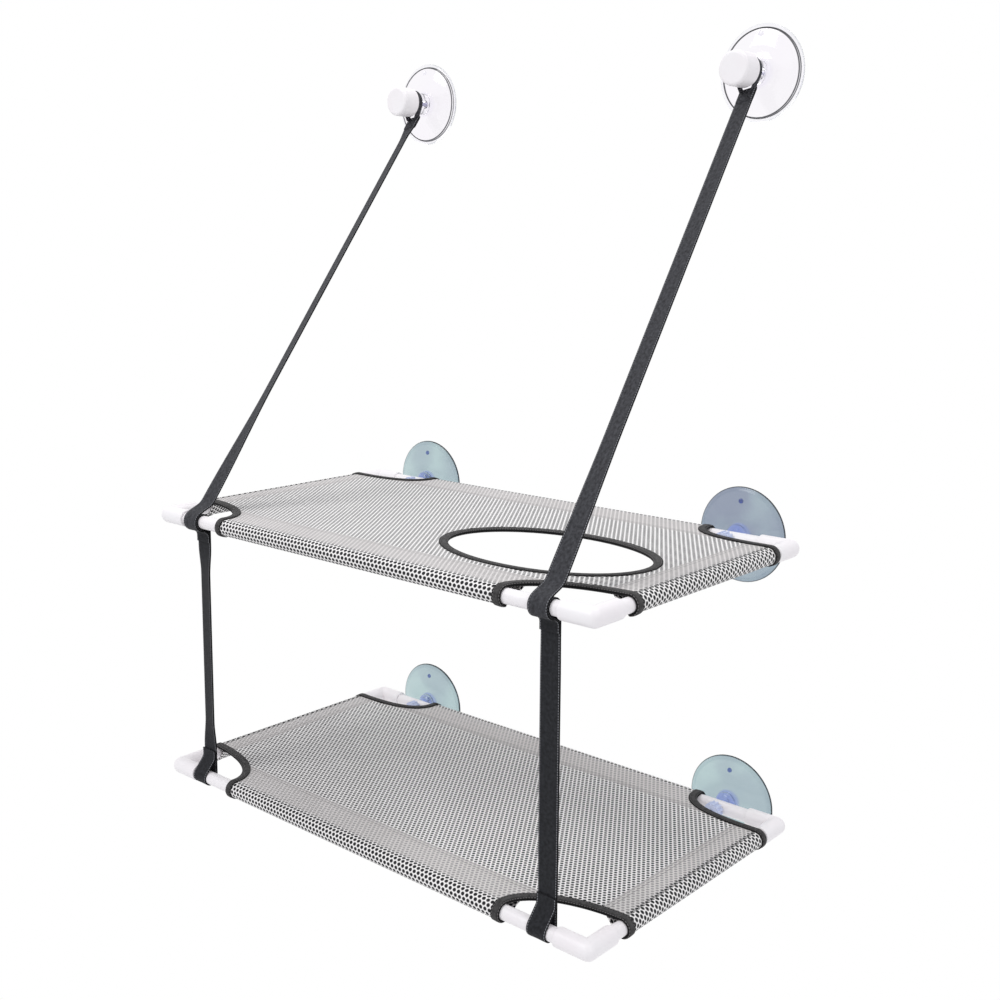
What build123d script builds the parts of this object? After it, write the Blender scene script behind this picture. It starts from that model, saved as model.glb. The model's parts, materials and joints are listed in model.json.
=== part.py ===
from build123d import *
import os
from math import acos, atan2, cos, degrees, radians, sin

# A cat perch of two slung tiers that hangs on a window by six suction cups, in millimetres.
# X runs along the window, Y points into the glass and Z is up. The origin is on the glass,
# midway between the sides and level with the tubes of the upper tier.

os.makedirs("parts", exist_ok=True)

# Places of the tiers, the cups and the straps
tier_width = 538.0  # between the axes of the left and right tubes
tier_reach = 291.0  # between the axes of the back and front tubes
tier_spacing = 269.8  # from the upper tier's tubes down to the lower tier's
hanger_rise = 418.0  # from the upper tier's tubes up to the hanger cups
stand_off = 22.0  # from the glass to the axis of a back tube
cup_inset = 62.0  # from the axis of a side tube in to a cup's axis
strap_inset = 47.0  # from the axis of a side tube in to a strap's middle at the front tubes

# Tubes and elbows
tube_radius = 6.5
tube_wall = 1.5
elbow_radius = 8.5
elbow_reach = 30.0  # from the crossing of two tube axes to the mouth of a socket
socket_depth = 20.0
socket_clearance = 0.1
mouth_round = 1.2
seat_gap = 0.3  # between pieces that meet end to end
overrun = 1.0  # how far a cut runs past the face that it opens

# Suction cups
tier_cup_radius = 46.0
hanger_cup_radius = 42.0
rim_width = 3.0  # flat lip that seals on the glass
lip_thickness = 1.6
dome_height = 8.0
dome_bulge = 1.8
cavity_depth = 4.5
cavity_bulge = 1.2
boss_radius = 11.0
boss_height = 12.0  # from the glass to where a tier cup's boss starts to narrow
boss_end_radius = 7.5
hanger_neck_length = 29.0  # from the glass to the end of a hanger cup's neck
neck_chamfer = 1.0
pip_radius = 2.2  # moulded pip near the top of each cup
pip_height = 1.4
pip_place = 33.0

# Studs, nuts and knobs
stud_radius = 2.5
stud_clearance = 0.1
stud_root = 7.0  # from the glass to the stud's end inside the cup
stud_tail = 2.0  # length of a stud past its nut
nut_radius = 8.5
nut_length = 9.0
flute_radius = 1.4
flute_count = 12
knob_radius = 15.0
knob_length = 20.5
knob_bore_depth = 13.0
knob_front_round = 3.0
knob_back_round = 1.0

# Slings and the tape that binds their edges
fabric = 1.2
sleeve_clearance = 0.4
front_hem = 36.0
side_hem = 24.0
front_notch_width = 87.0
front_notch_depth = 44.0
back_notch_width = 87.0
back_notch_depth = 44.0
tape_wall = 0.8
tape_clearance = 0.3
tape_cover = 6.0
hole_inset = 141.0  # from the axis of the right tube in to the middle of the hole
hole_centre_reach = 117.0  # from the front tube's axis to the middle of the hole
hole_radius_x = 104.0
hole_radius_y = 66.0

# Straps
webbing = 1.6
webbing_width = 20.0
strap_clearance = 0.4
foot_loop_rise = 26.0
wrap_reach = 26.0  # from the upper front tube's axis to where a hanger strap turns to the room side
wrap_end = 270.0  # degrees round the tube, at its underside
wrap_bend = 10.0
wrap_lead = 8.0
neck_loop_width = 8.0
neck_loop_drop = 20.0
sewn_block_width = 22.0
sewn_block_height = 13.0
sewn_block_depth = 5.0

# Levels and places that follow from the sizes above
half_width = tier_width / 2
cup_place = half_width - cup_inset
strap_place = half_width - strap_inset
hole_centre_x = half_width - hole_inset
back_y = -stand_off
front_y = back_y - tier_reach
middle_y = (back_y + front_y) / 2
sleeve_inner = tube_radius + sleeve_clearance
sleeve_outer = sleeve_inner + fabric
tape_grip = tape_wall + tape_clearance
loop_inner = tube_radius + strap_clearance
loop_outer = loop_inner + webbing
boss_end = stand_off - tube_radius - seat_gap
nut_start = stand_off + tube_radius + seat_gap
nut_end = nut_start + nut_length
knob_start = hanger_neck_length + seat_gap
seat_depth = elbow_reach - socket_depth + seat_gap
everything = 2 * (tier_width + tier_reach + hanger_rise)  # longer than the whole object

tier_levels = {"upper": 0.0, "lower": -tier_spacing}
sides = {"left": -1, "right": 1}


def finish(builder, name):
    """Label a finished piece and write it to a file of its own."""
    builder.part.label = name
    export_step(builder.part, f"parts/{name}.step")


def room_plane(x, z):
    """Plane on the glass at (x, z) whose own Z is the depth into the room."""
    return Plane(origin=(x, 0, z), x_dir=(1, 0, 0), z_dir=(0, -1, 0))


def cup_profile_plane(x, z):
    """Plane through a cup's axis whose X is the radius and whose Y is the depth into the room."""
    return Plane(origin=(x, 0, z), x_dir=(1, 0, 0), z_dir=(0, 0, -1))


def tangent_drop(radius, reach):
    """Circle drawn out to the point (reach, radius), where its flat top tangent ends."""
    lower = 2 * atan2(radius, reach) - radians(90)
    touch = (radius * cos(lower), radius * sin(lower))
    with BuildSketch() as drop:
        Circle(radius)
        with BuildLine():
            Polyline((0, 0), (0, radius), (reach, radius), touch, close=True)
        make_face()
    return drop.sketch


def hanging_drop(radius, fall):
    """Circle drawn down to a point that lies the fall below its centre."""
    touch = acos(radius / fall)
    touch_x = radius * sin(touch)
    touch_y = -radius * cos(touch)
    with BuildSketch() as drop:
        Circle(radius)
        with BuildLine():
            Polyline((0, 0), (touch_x, touch_y), (0, -fall), (-touch_x, touch_y), close=True)
        make_face()
    return drop.sketch


# Tubes and elbows


def build_tube(name, middle, direction, length, cross_holes=()):
    """Plain tube, drilled across for each stud that passes through it."""
    with BuildPart() as tube:
        with BuildSketch(Plane(origin=middle, z_dir=direction)):
            Circle(tube_radius)
            Circle(tube_radius - tube_wall, mode=Mode.SUBTRACT)
        extrude(amount=length / 2, both=True)
        for x in cross_holes:
            with BuildSketch(room_plane(x, middle[2])):
                Circle(stud_radius + stud_clearance)
            extrude(amount=nut_end, mode=Mode.SUBTRACT)
    finish(tube, name)


def build_elbow(name, corner, turn):
    """Two sockets at a right angle that run into one round corner."""
    frame = Plane(corner).rotated((0, 0, turn))
    arms = (
        Plane(origin=corner, x_dir=frame.y_dir, z_dir=frame.x_dir),
        Plane(origin=corner, x_dir=frame.x_dir, z_dir=frame.y_dir),
    )
    with BuildPart() as elbow:
        with BuildSketch(*arms):
            Circle(elbow_radius)
        extrude(amount=elbow_reach)
        with Locations(corner):
            Sphere(elbow_radius)
        fillet(elbow.faces().filter_by(GeomType.PLANE).edges(), radius=mouth_round)
        for arm in arms:
            with BuildSketch(arm.offset(elbow_reach - socket_depth)):
                Circle(tube_radius + socket_clearance)
            extrude(amount=socket_depth + overrun, mode=Mode.SUBTRACT)
    finish(elbow, name)


# Suction cups with their studs, nuts and knobs


def build_cup(name, x, z, radius, shoulder, end, end_radius):
    """Clear cup: a flat lip, a thin dome, a pip and a boss that holds the stud.

    The boss keeps its radius up to the shoulder and narrows to end_radius at its end.
    """
    with BuildPart() as cup:
        with BuildSketch(cup_profile_plane(x, z)):
            with BuildLine():
                lip = Polyline((radius - rim_width, 0), (radius, 0), (radius, lip_thickness))
                dome = SagittaArc(lip @ 1, (boss_radius, dome_height), dome_bulge)
                boss = Polyline(
                    dome @ 1, (boss_radius, shoulder), (end_radius, end), (0, end), (0, cavity_depth)
                )
                SagittaArc(boss @ 1, lip @ 0, cavity_bulge)
            make_face()
        revolve(axis=Axis((x, 0, z), (0, -1, 0)))
        with BuildSketch(room_plane(x, z).offset(lip_thickness)):
            with Locations((0, pip_place)):
                Circle(pip_radius)
        extrude(amount=pip_rise(radius))
        with BuildSketch(room_plane(x, z).offset(stud_root)):
            Circle(stud_radius)
        extrude(amount=end, mode=Mode.SUBTRACT)
    finish(cup, name)


def pip_rise(radius):
    """Height of the pip's end above the lip: the dome's own rise there and the pip's height."""
    inward_share = (radius - pip_place) / (radius - boss_radius)
    return inward_share * (dome_height - lip_thickness) + dome_bulge + pip_height


def build_stud(name, x, z, end):
    """Threaded stud that is moulded into a cup and ends at a depth into the room."""
    with BuildPart() as stud:
        with BuildSketch(room_plane(x, z).offset(stud_root)):
            Circle(stud_radius)
        extrude(amount=end - stud_root)
    finish(stud, name)


def build_nut(name, x, z):
    """Fluted nut that locks a back tube against its cup."""
    with BuildPart() as nut:
        with BuildSketch(room_plane(x, z).offset(nut_start)):
            Circle(nut_radius)
            with PolarLocations(nut_radius, flute_count):
                Circle(flute_radius, mode=Mode.SUBTRACT)
            Circle(stud_radius + stud_clearance, mode=Mode.SUBTRACT)
        extrude(amount=nut_length)
    finish(nut, name)


def build_knob(name, x, z):
    """Round cap that screws on a hanger cup's stud and keeps the strap's loop on the neck."""
    with BuildPart() as knob:
        with BuildSketch(room_plane(x, z).offset(knob_start)):
            Circle(knob_radius)
        extrude(amount=knob_length)
        ends = knob.faces().filter_by(GeomType.PLANE).sort_by(Axis.Y)
        fillet(ends.first.edges(), radius=knob_front_round)
        ends = knob.faces().filter_by(GeomType.PLANE).sort_by(Axis.Y)
        fillet(ends.last.edges(), radius=knob_back_round)
        with BuildSketch(room_plane(x, z).offset(knob_start)):
            Circle(stud_radius + stud_clearance)
        extrude(amount=knob_bore_depth, mode=Mode.SUBTRACT)
    finish(knob, name)


# Slings


def sleeve_frames(level):
    """Middle of each sleeve with its hem and its length; the plane's X runs in over the sheet."""
    front_length = tier_width - 2 * front_notch_width
    back_length = tier_width - 2 * back_notch_width
    side_start = front_y + front_notch_depth
    side_end = back_y - back_notch_depth
    side_length = side_end - side_start
    side_middle = (side_start + side_end) / 2
    front = Plane(origin=(0, front_y, level), x_dir=(0, 1, 0), z_dir=(1, 0, 0))
    back = Plane(origin=(0, back_y, level), x_dir=(0, -1, 0), z_dir=(-1, 0, 0))
    left = Plane(origin=(-half_width, side_middle, level), x_dir=(1, 0, 0), z_dir=(0, -1, 0))
    right = Plane(origin=(half_width, side_middle, level), x_dir=(-1, 0, 0), z_dir=(0, 1, 0))
    return (
        (front, front_hem, front_length),
        (back, front_hem, back_length),
        (left, side_hem, side_length),
        (right, side_hem, side_length),
    )


def build_sling(name, level, has_hole):
    """Mesh sheet with a sewn sleeve round each tube and a notch at each corner."""
    with BuildPart() as sling:
        with BuildSketch(Plane.XY.offset(level + sleeve_inner)):
            with Locations((0, middle_y)):
                Rectangle(tier_width, tier_reach)
            with Locations((-half_width, front_y), (half_width, front_y)):
                Ellipse(front_notch_width, front_notch_depth, mode=Mode.SUBTRACT)
            with Locations((-half_width, back_y), (half_width, back_y)):
                Ellipse(back_notch_width, back_notch_depth, mode=Mode.SUBTRACT)
            if has_hole:
                with Locations((hole_centre_x, front_y + hole_centre_reach)):
                    Ellipse(hole_radius_x, hole_radius_y, mode=Mode.SUBTRACT)
        extrude(amount=fabric)
        for frame, hem, length in sleeve_frames(level):
            with BuildSketch(frame):
                add(tangent_drop(sleeve_outer, hem))
            extrude(amount=length / 2, both=True)
        for frame, hem, length in sleeve_frames(level):
            with BuildSketch(frame):
                add(tangent_drop(sleeve_inner, hem * sleeve_inner / sleeve_outer))
            extrude(amount=length / 2, both=True, mode=Mode.SUBTRACT)
    finish(sling, name)


def tape_over_sleeve_end(end_plane, out):
    """Half ring of tape over a sleeve's cut end, on the side away from the sheet.

    The plane stands on the cut end and its X runs in over the sheet. Its Z leads out of the
    sleeve where out is 1, and into the sleeve where out is -1.
    """
    far_half = (Align.MAX, Align.CENTER)
    with BuildPart() as ring:
        for start, depth, inner in (
            (-tape_cover, tape_cover + tape_grip, sleeve_outer + tape_clearance),
            (tape_clearance, tape_wall, tube_radius + tape_clearance),
        ):
            with BuildSketch(end_plane.offset(out * start)):
                Circle(sleeve_outer + tape_grip)
                Circle(inner, mode=Mode.SUBTRACT)
                Rectangle(everything, everything, align=far_half, mode=Mode.INTERSECT)
            extrude(amount=out * depth)
    return ring.part


def front_left_tape(level, notch_width, notch_depth):
    """Tape over the cut edge of a notch at the front left and over the two sleeve ends beside it."""
    corner = (-half_width, front_y)
    front_end = Plane(
        origin=(-half_width + notch_width, front_y, level), x_dir=(0, 1, 0), z_dir=(1, 0, 0)
    )
    side_end = Plane(
        origin=(-half_width, front_y + notch_depth, level), x_dir=(1, 0, 0), z_dir=(0, -1, 0)
    )
    inside_tier = (Align.MIN, Align.MIN)
    with BuildPart() as tape:
        with BuildSketch(Plane.XY.offset(level + sleeve_inner - tape_grip)):
            with Locations(corner):
                Ellipse(notch_width + tape_cover, notch_depth + tape_cover)
                Ellipse(notch_width - tape_grip, notch_depth - tape_grip, mode=Mode.SUBTRACT)
                Rectangle(everything, everything, align=inside_tier, mode=Mode.INTERSECT)
        extrude(amount=fabric + 2 * tape_grip)
        # The slot that the sheet's edge lies in
        with BuildSketch(Plane.XY.offset(level + sleeve_inner - tape_clearance)):
            with Locations(corner):
                Rectangle(everything, everything)
                Ellipse(
                    notch_width - tape_clearance, notch_depth - tape_clearance, mode=Mode.SUBTRACT
                )
        extrude(amount=fabric + 2 * tape_clearance, mode=Mode.SUBTRACT)
        # Room for the sewn sleeves and for the tubes that run out of them
        for end_plane, out, hem in ((front_end, -1, front_hem), (side_end, 1, side_hem)):
            with BuildSketch(end_plane.offset(out * tape_clearance)):
                add(tangent_drop(sleeve_outer, hem))
                offset(amount=tape_clearance, kind=Kind.INTERSECTION)
            extrude(amount=-out * half_width, mode=Mode.SUBTRACT)
            with BuildSketch(end_plane):
                Circle(tube_radius + tape_clearance)
            extrude(amount=half_width, both=True, mode=Mode.SUBTRACT)
            add(tape_over_sleeve_end(end_plane, out))
    return tape.part


def build_corner_binding(name, level):
    """Four tapes, one at each corner. The front and the back pair each follow their own notches."""
    with BuildPart() as binding:
        add(front_left_tape(level, front_notch_width, front_notch_depth))
        mirror(
            front_left_tape(level, back_notch_width, back_notch_depth),
            about=Plane.XZ.offset(-middle_y),
        )
        mirror(about=Plane.YZ)
    finish(binding, name)


def build_hole_binding(name, level):
    """Oval tape with a slot for the edge of the hole."""
    with BuildPart() as binding:
        with BuildSketch(Plane.XY.offset(level + sleeve_inner - tape_grip)):
            with Locations((hole_centre_x, front_y + hole_centre_reach)):
                Ellipse(hole_radius_x + tape_cover, hole_radius_y + tape_cover)
                Ellipse(hole_radius_x - tape_grip, hole_radius_y - tape_grip, mode=Mode.SUBTRACT)
        extrude(amount=fabric + 2 * tape_grip)
        with BuildSketch(Plane.XY.offset(level + sleeve_inner - tape_clearance)):
            with Locations((hole_centre_x, front_y + hole_centre_reach)):
                Rectangle(everything, everything)
                Ellipse(
                    hole_radius_x - tape_clearance,
                    hole_radius_y - tape_clearance,
                    mode=Mode.SUBTRACT,
                )
        extrude(amount=fabric + 2 * tape_clearance, mode=Mode.SUBTRACT)
    finish(binding, name)


# Straps


def build_drop_strap(name, x):
    """Webbing from a loop round the upper front tube down to a loop round the lower one."""
    head = Plane(origin=(x, front_y, 0), x_dir=(0, 1, 0), z_dir=(1, 0, 0))
    foot = Plane(origin=(x, front_y, -tier_spacing), x_dir=(0, 0, 1), z_dir=(-1, 0, 0))
    with BuildPart() as strap:
        with BuildSketch(head):
            Circle(loop_outer)
            with Locations(((loop_inner + loop_outer) / 2, -tier_spacing / 2)):
                Rectangle(webbing, tier_spacing)
            Circle(loop_inner, mode=Mode.SUBTRACT)
        extrude(amount=webbing_width / 2, both=True)
        with BuildSketch(foot):
            add(tangent_drop(loop_outer, foot_loop_rise))
        extrude(amount=webbing_width / 2, both=True)
        with BuildSketch(foot):
            add(tangent_drop(loop_inner, foot_loop_rise * loop_inner / loop_outer))
        extrude(amount=webbing_width / 2, both=True, mode=Mode.SUBTRACT)
    finish(strap, name)


def build_hanger_strap(name, cup_x, strap_x):
    """Webbing from a loop round a hanger cup's neck down to a wrap over a drop strap's head.

    The strap pulls in line with the axis of the upper front tube. Just above the tube it turns to
    the room side, and wraps over the head as far as the tube's underside, where it is sewn down.
    """
    neck_depth = hanger_neck_length - neck_loop_width / 2
    neck_loop_inner = boss_radius + strap_clearance
    neck_loop_outer = neck_loop_inner + webbing
    wrap_radius = loop_outer + seat_gap + webbing / 2
    top = Vector(cup_x, -neck_depth, hanger_rise - neck_loop_drop)
    slope = Vector(0, top.Y - front_y, top.Z).normalized()
    bend = Vector(strap_x, front_y, 0) + slope * wrap_reach
    lead = bend + slope * wrap_lead
    wrap_start = degrees(atan2(slope.Z, slope.Y) + acos(wrap_radius / wrap_reach))
    with BuildPart() as strap:
        with BuildSketch(Plane(origin=(strap_x, 0, 0), x_dir=(0, 1, 0), z_dir=(1, 0, 0))):
            with BuildLine():
                wrap = CenterArc((front_y, 0), wrap_radius, wrap_start, wrap_end - wrap_start)
                FilletPolyline((lead.Y, lead.Z), (bend.Y, bend.Z), wrap @ 0, radius=wrap_bend)
            trace(line_width=webbing)
        extrude(amount=webbing_width / 2, both=True)
        with BuildSketch(
            Plane(origin=lead, x_dir=(1, 0, 0), z_dir=slope),
            Plane(origin=top, x_dir=(1, 0, 0), z_dir=slope),
        ):
            Rectangle(webbing_width, webbing)
        loft()
        loop_plane = room_plane(cup_x, hanger_rise).offset(neck_depth)
        with BuildSketch(loop_plane):
            add(hanging_drop(neck_loop_outer, neck_loop_drop))
        extrude(amount=neck_loop_width / 2, both=True)
        with BuildSketch(loop_plane):
            inner_drop = neck_loop_drop * neck_loop_inner / neck_loop_outer
            add(hanging_drop(neck_loop_inner, inner_drop))
        extrude(amount=neck_loop_width / 2, both=True, mode=Mode.SUBTRACT)
        with Locations(top):
            Box(sewn_block_width, sewn_block_depth, sewn_block_height)
    finish(strap, name)


# The pieces of one tier

for tier, level in tier_levels.items():
    cup_places = [sign * cup_place for sign in sides.values()]
    along_window = tier_width - 2 * seat_depth
    into_room = tier_reach - 2 * seat_depth
    build_tube(f"{tier}_back_tube", (0, back_y, level), (1, 0, 0), along_window, cup_places)
    build_tube(f"{tier}_front_tube", (0, front_y, level), (1, 0, 0), along_window)
    for side, sign in sides.items():
        build_tube(f"{tier}_{side}_tube", (sign * half_width, middle_y, level), (0, 1, 0), into_room)
    for place, x, y, turn in (
        ("front_left", -half_width, front_y, 0),
        ("front_right", half_width, front_y, 90),
        ("back_right", half_width, back_y, 180),
        ("back_left", -half_width, back_y, 270),
    ):
        build_elbow(f"{tier}_elbow_{place}", (x, y, level), turn)
    build_sling(f"{tier}_sling", level, has_hole=tier == "upper")
    build_corner_binding(f"{tier}_corner_binding", level)
    for side, sign in sides.items():
        cup_x = sign * cup_place
        build_cup(
            f"{tier}_cup_{side}",
            cup_x,
            level,
            tier_cup_radius,
            boss_height,
            boss_end,
            boss_end_radius,
        )
        build_stud(f"{tier}_stud_{side}", cup_x, level, nut_end + stud_tail)
        build_nut(f"{tier}_nut_{side}", cup_x, level)

build_hole_binding("hole_binding", tier_levels["upper"])

# The hanger cups above the tiers, and the straps

for side, sign in sides.items():
    cup_x = sign * cup_place
    strap_x = sign * strap_place
    build_cup(
        f"hanger_cup_{side}",
        cup_x,
        hanger_rise,
        hanger_cup_radius,
        hanger_neck_length - neck_chamfer,
        hanger_neck_length,
        boss_radius - neck_chamfer,
    )
    build_stud(f"hanger_stud_{side}", cup_x, hanger_rise, knob_start + knob_bore_depth - seat_gap)
    build_knob(f"hanger_knob_{side}", cup_x, hanger_rise)
    build_hanger_strap(f"hanger_strap_{side}", cup_x, strap_x)
    build_drop_strap(f"drop_strap_{side}", strap_x)
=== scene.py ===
# %% [markdown]
# # A cat perch of two mesh slings that hangs on a window
#
# The real object is a pair of tube frames, each with a sling of open mesh cloth pulled tight over it.
# Suction cups hold the back tubes on the glass, and webbing straps carry the front tubes.
# The tubes, elbows, studs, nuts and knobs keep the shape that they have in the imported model. The
# cloth, the tape, the webbing and the cups are worked out here as surfaces, because their beauty is
# in detail that a solid doesn't hold.

# %% Load the frame
import json
import math

import bmesh
import bpy
import numpy as np
from mathutils import Matrix, Vector


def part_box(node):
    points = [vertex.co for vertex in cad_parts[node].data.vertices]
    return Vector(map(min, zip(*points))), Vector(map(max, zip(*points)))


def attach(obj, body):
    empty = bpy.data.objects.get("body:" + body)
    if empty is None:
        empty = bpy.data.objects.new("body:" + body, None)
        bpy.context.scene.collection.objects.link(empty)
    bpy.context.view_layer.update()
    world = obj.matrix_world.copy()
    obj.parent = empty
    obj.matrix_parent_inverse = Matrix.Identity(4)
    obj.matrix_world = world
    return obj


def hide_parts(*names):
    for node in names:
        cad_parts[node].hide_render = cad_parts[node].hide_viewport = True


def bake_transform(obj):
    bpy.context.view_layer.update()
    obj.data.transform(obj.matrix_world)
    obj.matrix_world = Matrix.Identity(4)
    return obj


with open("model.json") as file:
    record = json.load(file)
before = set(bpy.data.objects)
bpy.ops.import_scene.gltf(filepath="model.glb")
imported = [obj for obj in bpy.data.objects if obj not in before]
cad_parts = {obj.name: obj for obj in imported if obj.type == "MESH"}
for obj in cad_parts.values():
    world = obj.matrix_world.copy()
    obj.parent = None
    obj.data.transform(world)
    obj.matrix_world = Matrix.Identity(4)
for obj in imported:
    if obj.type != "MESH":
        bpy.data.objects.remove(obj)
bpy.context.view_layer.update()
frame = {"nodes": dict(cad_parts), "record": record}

# %% [markdown]
# ## Sizes
#
# A maker keeps the sizes in one place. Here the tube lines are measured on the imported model, so the
# dressing can't drift away from the frame that it sits on. Only what is cut from cloth has sizes of
# its own, all in metres.

# %% Sizes of the frame and of the cloth
MM = 0.001


def node_middle(node):
    """Middle of a node's box."""
    low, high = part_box(node)
    return (low + high) / 2


half_width = node_middle("upper_right_tube").x
front_y = node_middle("upper_front_tube").y
back_y = node_middle("upper_back_tube").y
tier_levels = {"upper": node_middle("upper_front_tube").z, "lower": node_middle("lower_front_tube").z}
sides = {"left": -1, "right": 1}
hanger_x = node_middle("hanger_stud_right").x
hanger_z = node_middle("hanger_stud_right").z
strap_x = node_middle("drop_strap_right").x

cloth_thickness = 1.2 * MM
sleeve_radius = 7.5 * MM  # to the middle of the cloth's thickness
front_hem = 36 * MM
side_hem = 24 * MM
notches = {front_y: (87 * MM, 44 * MM), back_y: (84 * MM, 33 * MM)}  # along X and along Y
notch_powers = {front_y: 2.0, back_y: 2.6}  # 2 is an ellipse, and more is squarer
hole_from_front = 117 * MM
hole_x, hole_y = 128 * MM, front_y + hole_from_front
hole_radius_x, hole_radius_y = 104 * MM, 66 * MM
cloth_sag = 2.2 * MM
print("tube lines: x", round(half_width, 4), "front", round(front_y, 4), "back", round(back_y, 4))

# %% [markdown]
# ## Turning arrays into meshes
#
# Every new piece is a grid: two parameters run over it, and a formula gives the point for each pair.
# Numpy works the whole grid out at once. These helpers join grids into one mesh, carry a flat map for
# the weave along with it, close the seams and smooth the shading.

# %% Grid helpers
seam_gap = 0.001 * MM  # points nearer than this are one point
least_length = 1e-12  # of a vector that is divided by its length


def grid_faces(rows, columns, first=0, close_rows=False, close_columns=False):
    """Corner numbers of the quads between neighbouring points of a rows by columns grid."""
    row = np.arange(rows if close_rows else rows - 1)
    column = np.arange(columns if close_columns else columns - 1)
    r, c = np.meshgrid(row, column, indexing="ij")
    r2, c2 = (r + 1) % rows, (c + 1) % columns
    corners = [r * columns + c, r * columns + c2, r2 * columns + c2, r2 * columns + c]
    return np.stack(corners, axis=-1).reshape(-1, 4) + first


def edit_mesh(mesh, change):
    """Open a mesh for editing, change it and write it back."""
    opened = bmesh.new()
    opened.from_mesh(mesh)
    change(opened)
    opened.to_mesh(mesh)
    opened.free()


def weld_seams(mesh, distance):
    """Merge the points that two grids share, so that the surface is closed there."""
    edit_mesh(mesh, lambda opened: bmesh.ops.remove_doubles(opened, verts=opened.verts, dist=distance))


def outward(mesh):
    """Turn the faces of a closed mesh outwards."""
    edit_mesh(mesh, lambda opened: bmesh.ops.recalc_face_normals(opened, faces=opened.faces))


def make_piece(name, grids, weld=seam_gap):
    """Mesh object from grids, each a dict with points (rows, columns, 3) and optionally a flat map.

    A flat map that closes on itself has a period. Each face's corners are then moved by whole
    periods, so that none of them lies a turn away from the others.
    """
    points, faces, flats, count = [], [], [], 0
    for grid in grids:
        rows, columns = grid["points"].shape[:2]
        closed = grid.get("close_rows", False), grid.get("close_columns", False)
        quads = grid_faces(rows, columns, 0, *closed)
        if grid.get("flip"):
            quads = quads[:, ::-1]
        flat = grid.get("flat", grid["points"][..., :2]).reshape(-1, 2)
        corner_flat = flat[quads]
        if "flat_period" in grid:
            for axis, period in enumerate(grid["flat_period"]):
                if period:
                    start = corner_flat[:, :1, axis]
                    turns = np.round((start - corner_flat[..., axis]) / period)
                    corner_flat[..., axis] += turns * period
        points.append(grid["points"].reshape(-1, 3))
        faces.append(quads + count)
        flats.append(corner_flat.reshape(-1, 2))
        count += rows * columns
    mesh = bpy.data.meshes.new(name)
    mesh.from_pydata(np.concatenate(points).tolist(), [], np.concatenate(faces).tolist())
    uv = mesh.uv_layers.new(name="flat")
    uv.data.foreach_set("uv", np.concatenate(flats).astype(np.float32).ravel())
    piece = bpy.data.objects.new(name, mesh)
    bpy.context.scene.collection.objects.link(piece)
    weld_seams(mesh, weld)
    mesh.polygons.foreach_set("use_smooth", np.full(len(mesh.polygons), True))
    return piece


def step_lengths(points):
    """Lengths of the steps from point to point of a line."""
    return np.linalg.norm(np.diff(points, axis=0), axis=1)


def run_length(points):
    """Length of a line through points."""
    return float(step_lengths(points).sum())


def run_along(points):
    """Length run along a line at each of its points."""
    return np.concatenate([[0.0], np.cumsum(step_lengths(points))])


def unit(vectors):
    """Each vector divided by its length."""
    return vectors / np.maximum(np.linalg.norm(vectors, axis=-1, keepdims=True), least_length)


def smooth_fall(share, end):
    """1 at nothing and 0 at the end: 1 - t * t * (3 - 2 t)."""
    t = np.clip(share / end, 0, 1)
    return 1 - t * t * (3 - 2 * t)


# %% Profile carried along a path
tip_share = 0.02  # what a cap leaves open at its middle, as a share of the ring


def carried_profile(path, across, up, profile):
    """Profile carried along a path: point = path + a * across + b * up for each (a, b) of the profile.

    A profile of shape (path, section, 2) may change on its way. The flat map holds the length run
    along the path and the length run round the profile at the middle of the path.
    """
    points = path[:, None] + profile[..., :1] * across[:, None] + profile[..., 1:] * up[:, None]
    section = profile if profile.ndim == 2 else profile[len(profile) // 2]
    ring = np.concatenate([section, section[:1]])
    flat = np.stack(np.meshgrid(run_along(path), run_along(ring)[:-1], indexing="ij"), axis=-1)
    return {"points": points, "flat": flat, "close_columns": True, "flat_period": (0, run_length(ring))}


def cap(grid, row):
    """Closes an end of a carried profile with a fan of thin quads towards its middle."""
    ring = grid["points"][row]
    middle = ring.mean(axis=0)
    shrunk = np.stack([ring, middle + (ring - middle) * tip_share])
    flat = np.stack([grid["flat"][row]] * 2)
    return {"points": shrunk, "flat": flat, "close_columns": True, "flip": row == 0}


def close_ends(grid):
    """The grid with a cap on both of its ends."""
    return [grid, cap(grid, 0), cap(grid, -1)]


# %% [markdown]
# ## The light, the backdrop and the camera
#
# The photograph is a shop picture on plain white with soft light. A large floor far below and a pale
# world give that. The camera stands where the photograph was taken from: its place was worked out
# from the corners of the two tiers, the rims of the cups and the ends of the straps.

# %% Camera
camera_place = Vector((0.81436, -1.03622, 0.27017))
camera_turn, camera_tilt, camera_roll = 0.7233, -0.1992, 0.0040
camera_lens_px = 1273.5  # focal length in pixels of the picture
picture_width_px = 1000
sensor_width_mm = 36
nearest_seen, farthest_seen = 0.01, 50

camera_data = bpy.data.cameras.new("camera")
camera_data.sensor_width = sensor_width_mm
camera_data.lens = camera_lens_px / picture_width_px * sensor_width_mm
camera_data.clip_start, camera_data.clip_end = nearest_seen, farthest_seen
camera = bpy.data.objects.new("camera", camera_data)
aim = Matrix.Rotation(camera_turn, 4, "Z") @ Matrix.Rotation(math.pi / 2 + camera_tilt, 4, "X")
camera.matrix_world = Matrix.Translation(camera_place) @ aim @ Matrix.Rotation(camera_roll, 4, "Z")
bpy.context.scene.collection.objects.link(camera)
bpy.context.scene.camera = camera
bpy.context.scene.view_settings.view_transform = "Standard"

# %% Material helpers
def new_material(name):
    """Material with a Principled shader, and short ways to reach its tree and its nodes."""
    material = bpy.data.materials.new(name)
    material.use_nodes = True
    return material, material.node_tree, material.node_tree.nodes["Principled BSDF"]


def add_node(tree, kind, values=None, **settings):
    """Node with its settings and its socket values."""
    node = tree.nodes.new(kind)
    for key, value in settings.items():
        setattr(node, key, value)
    for key, value in (values or {}).items():
        node.inputs[key].default_value = value
    return node


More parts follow.
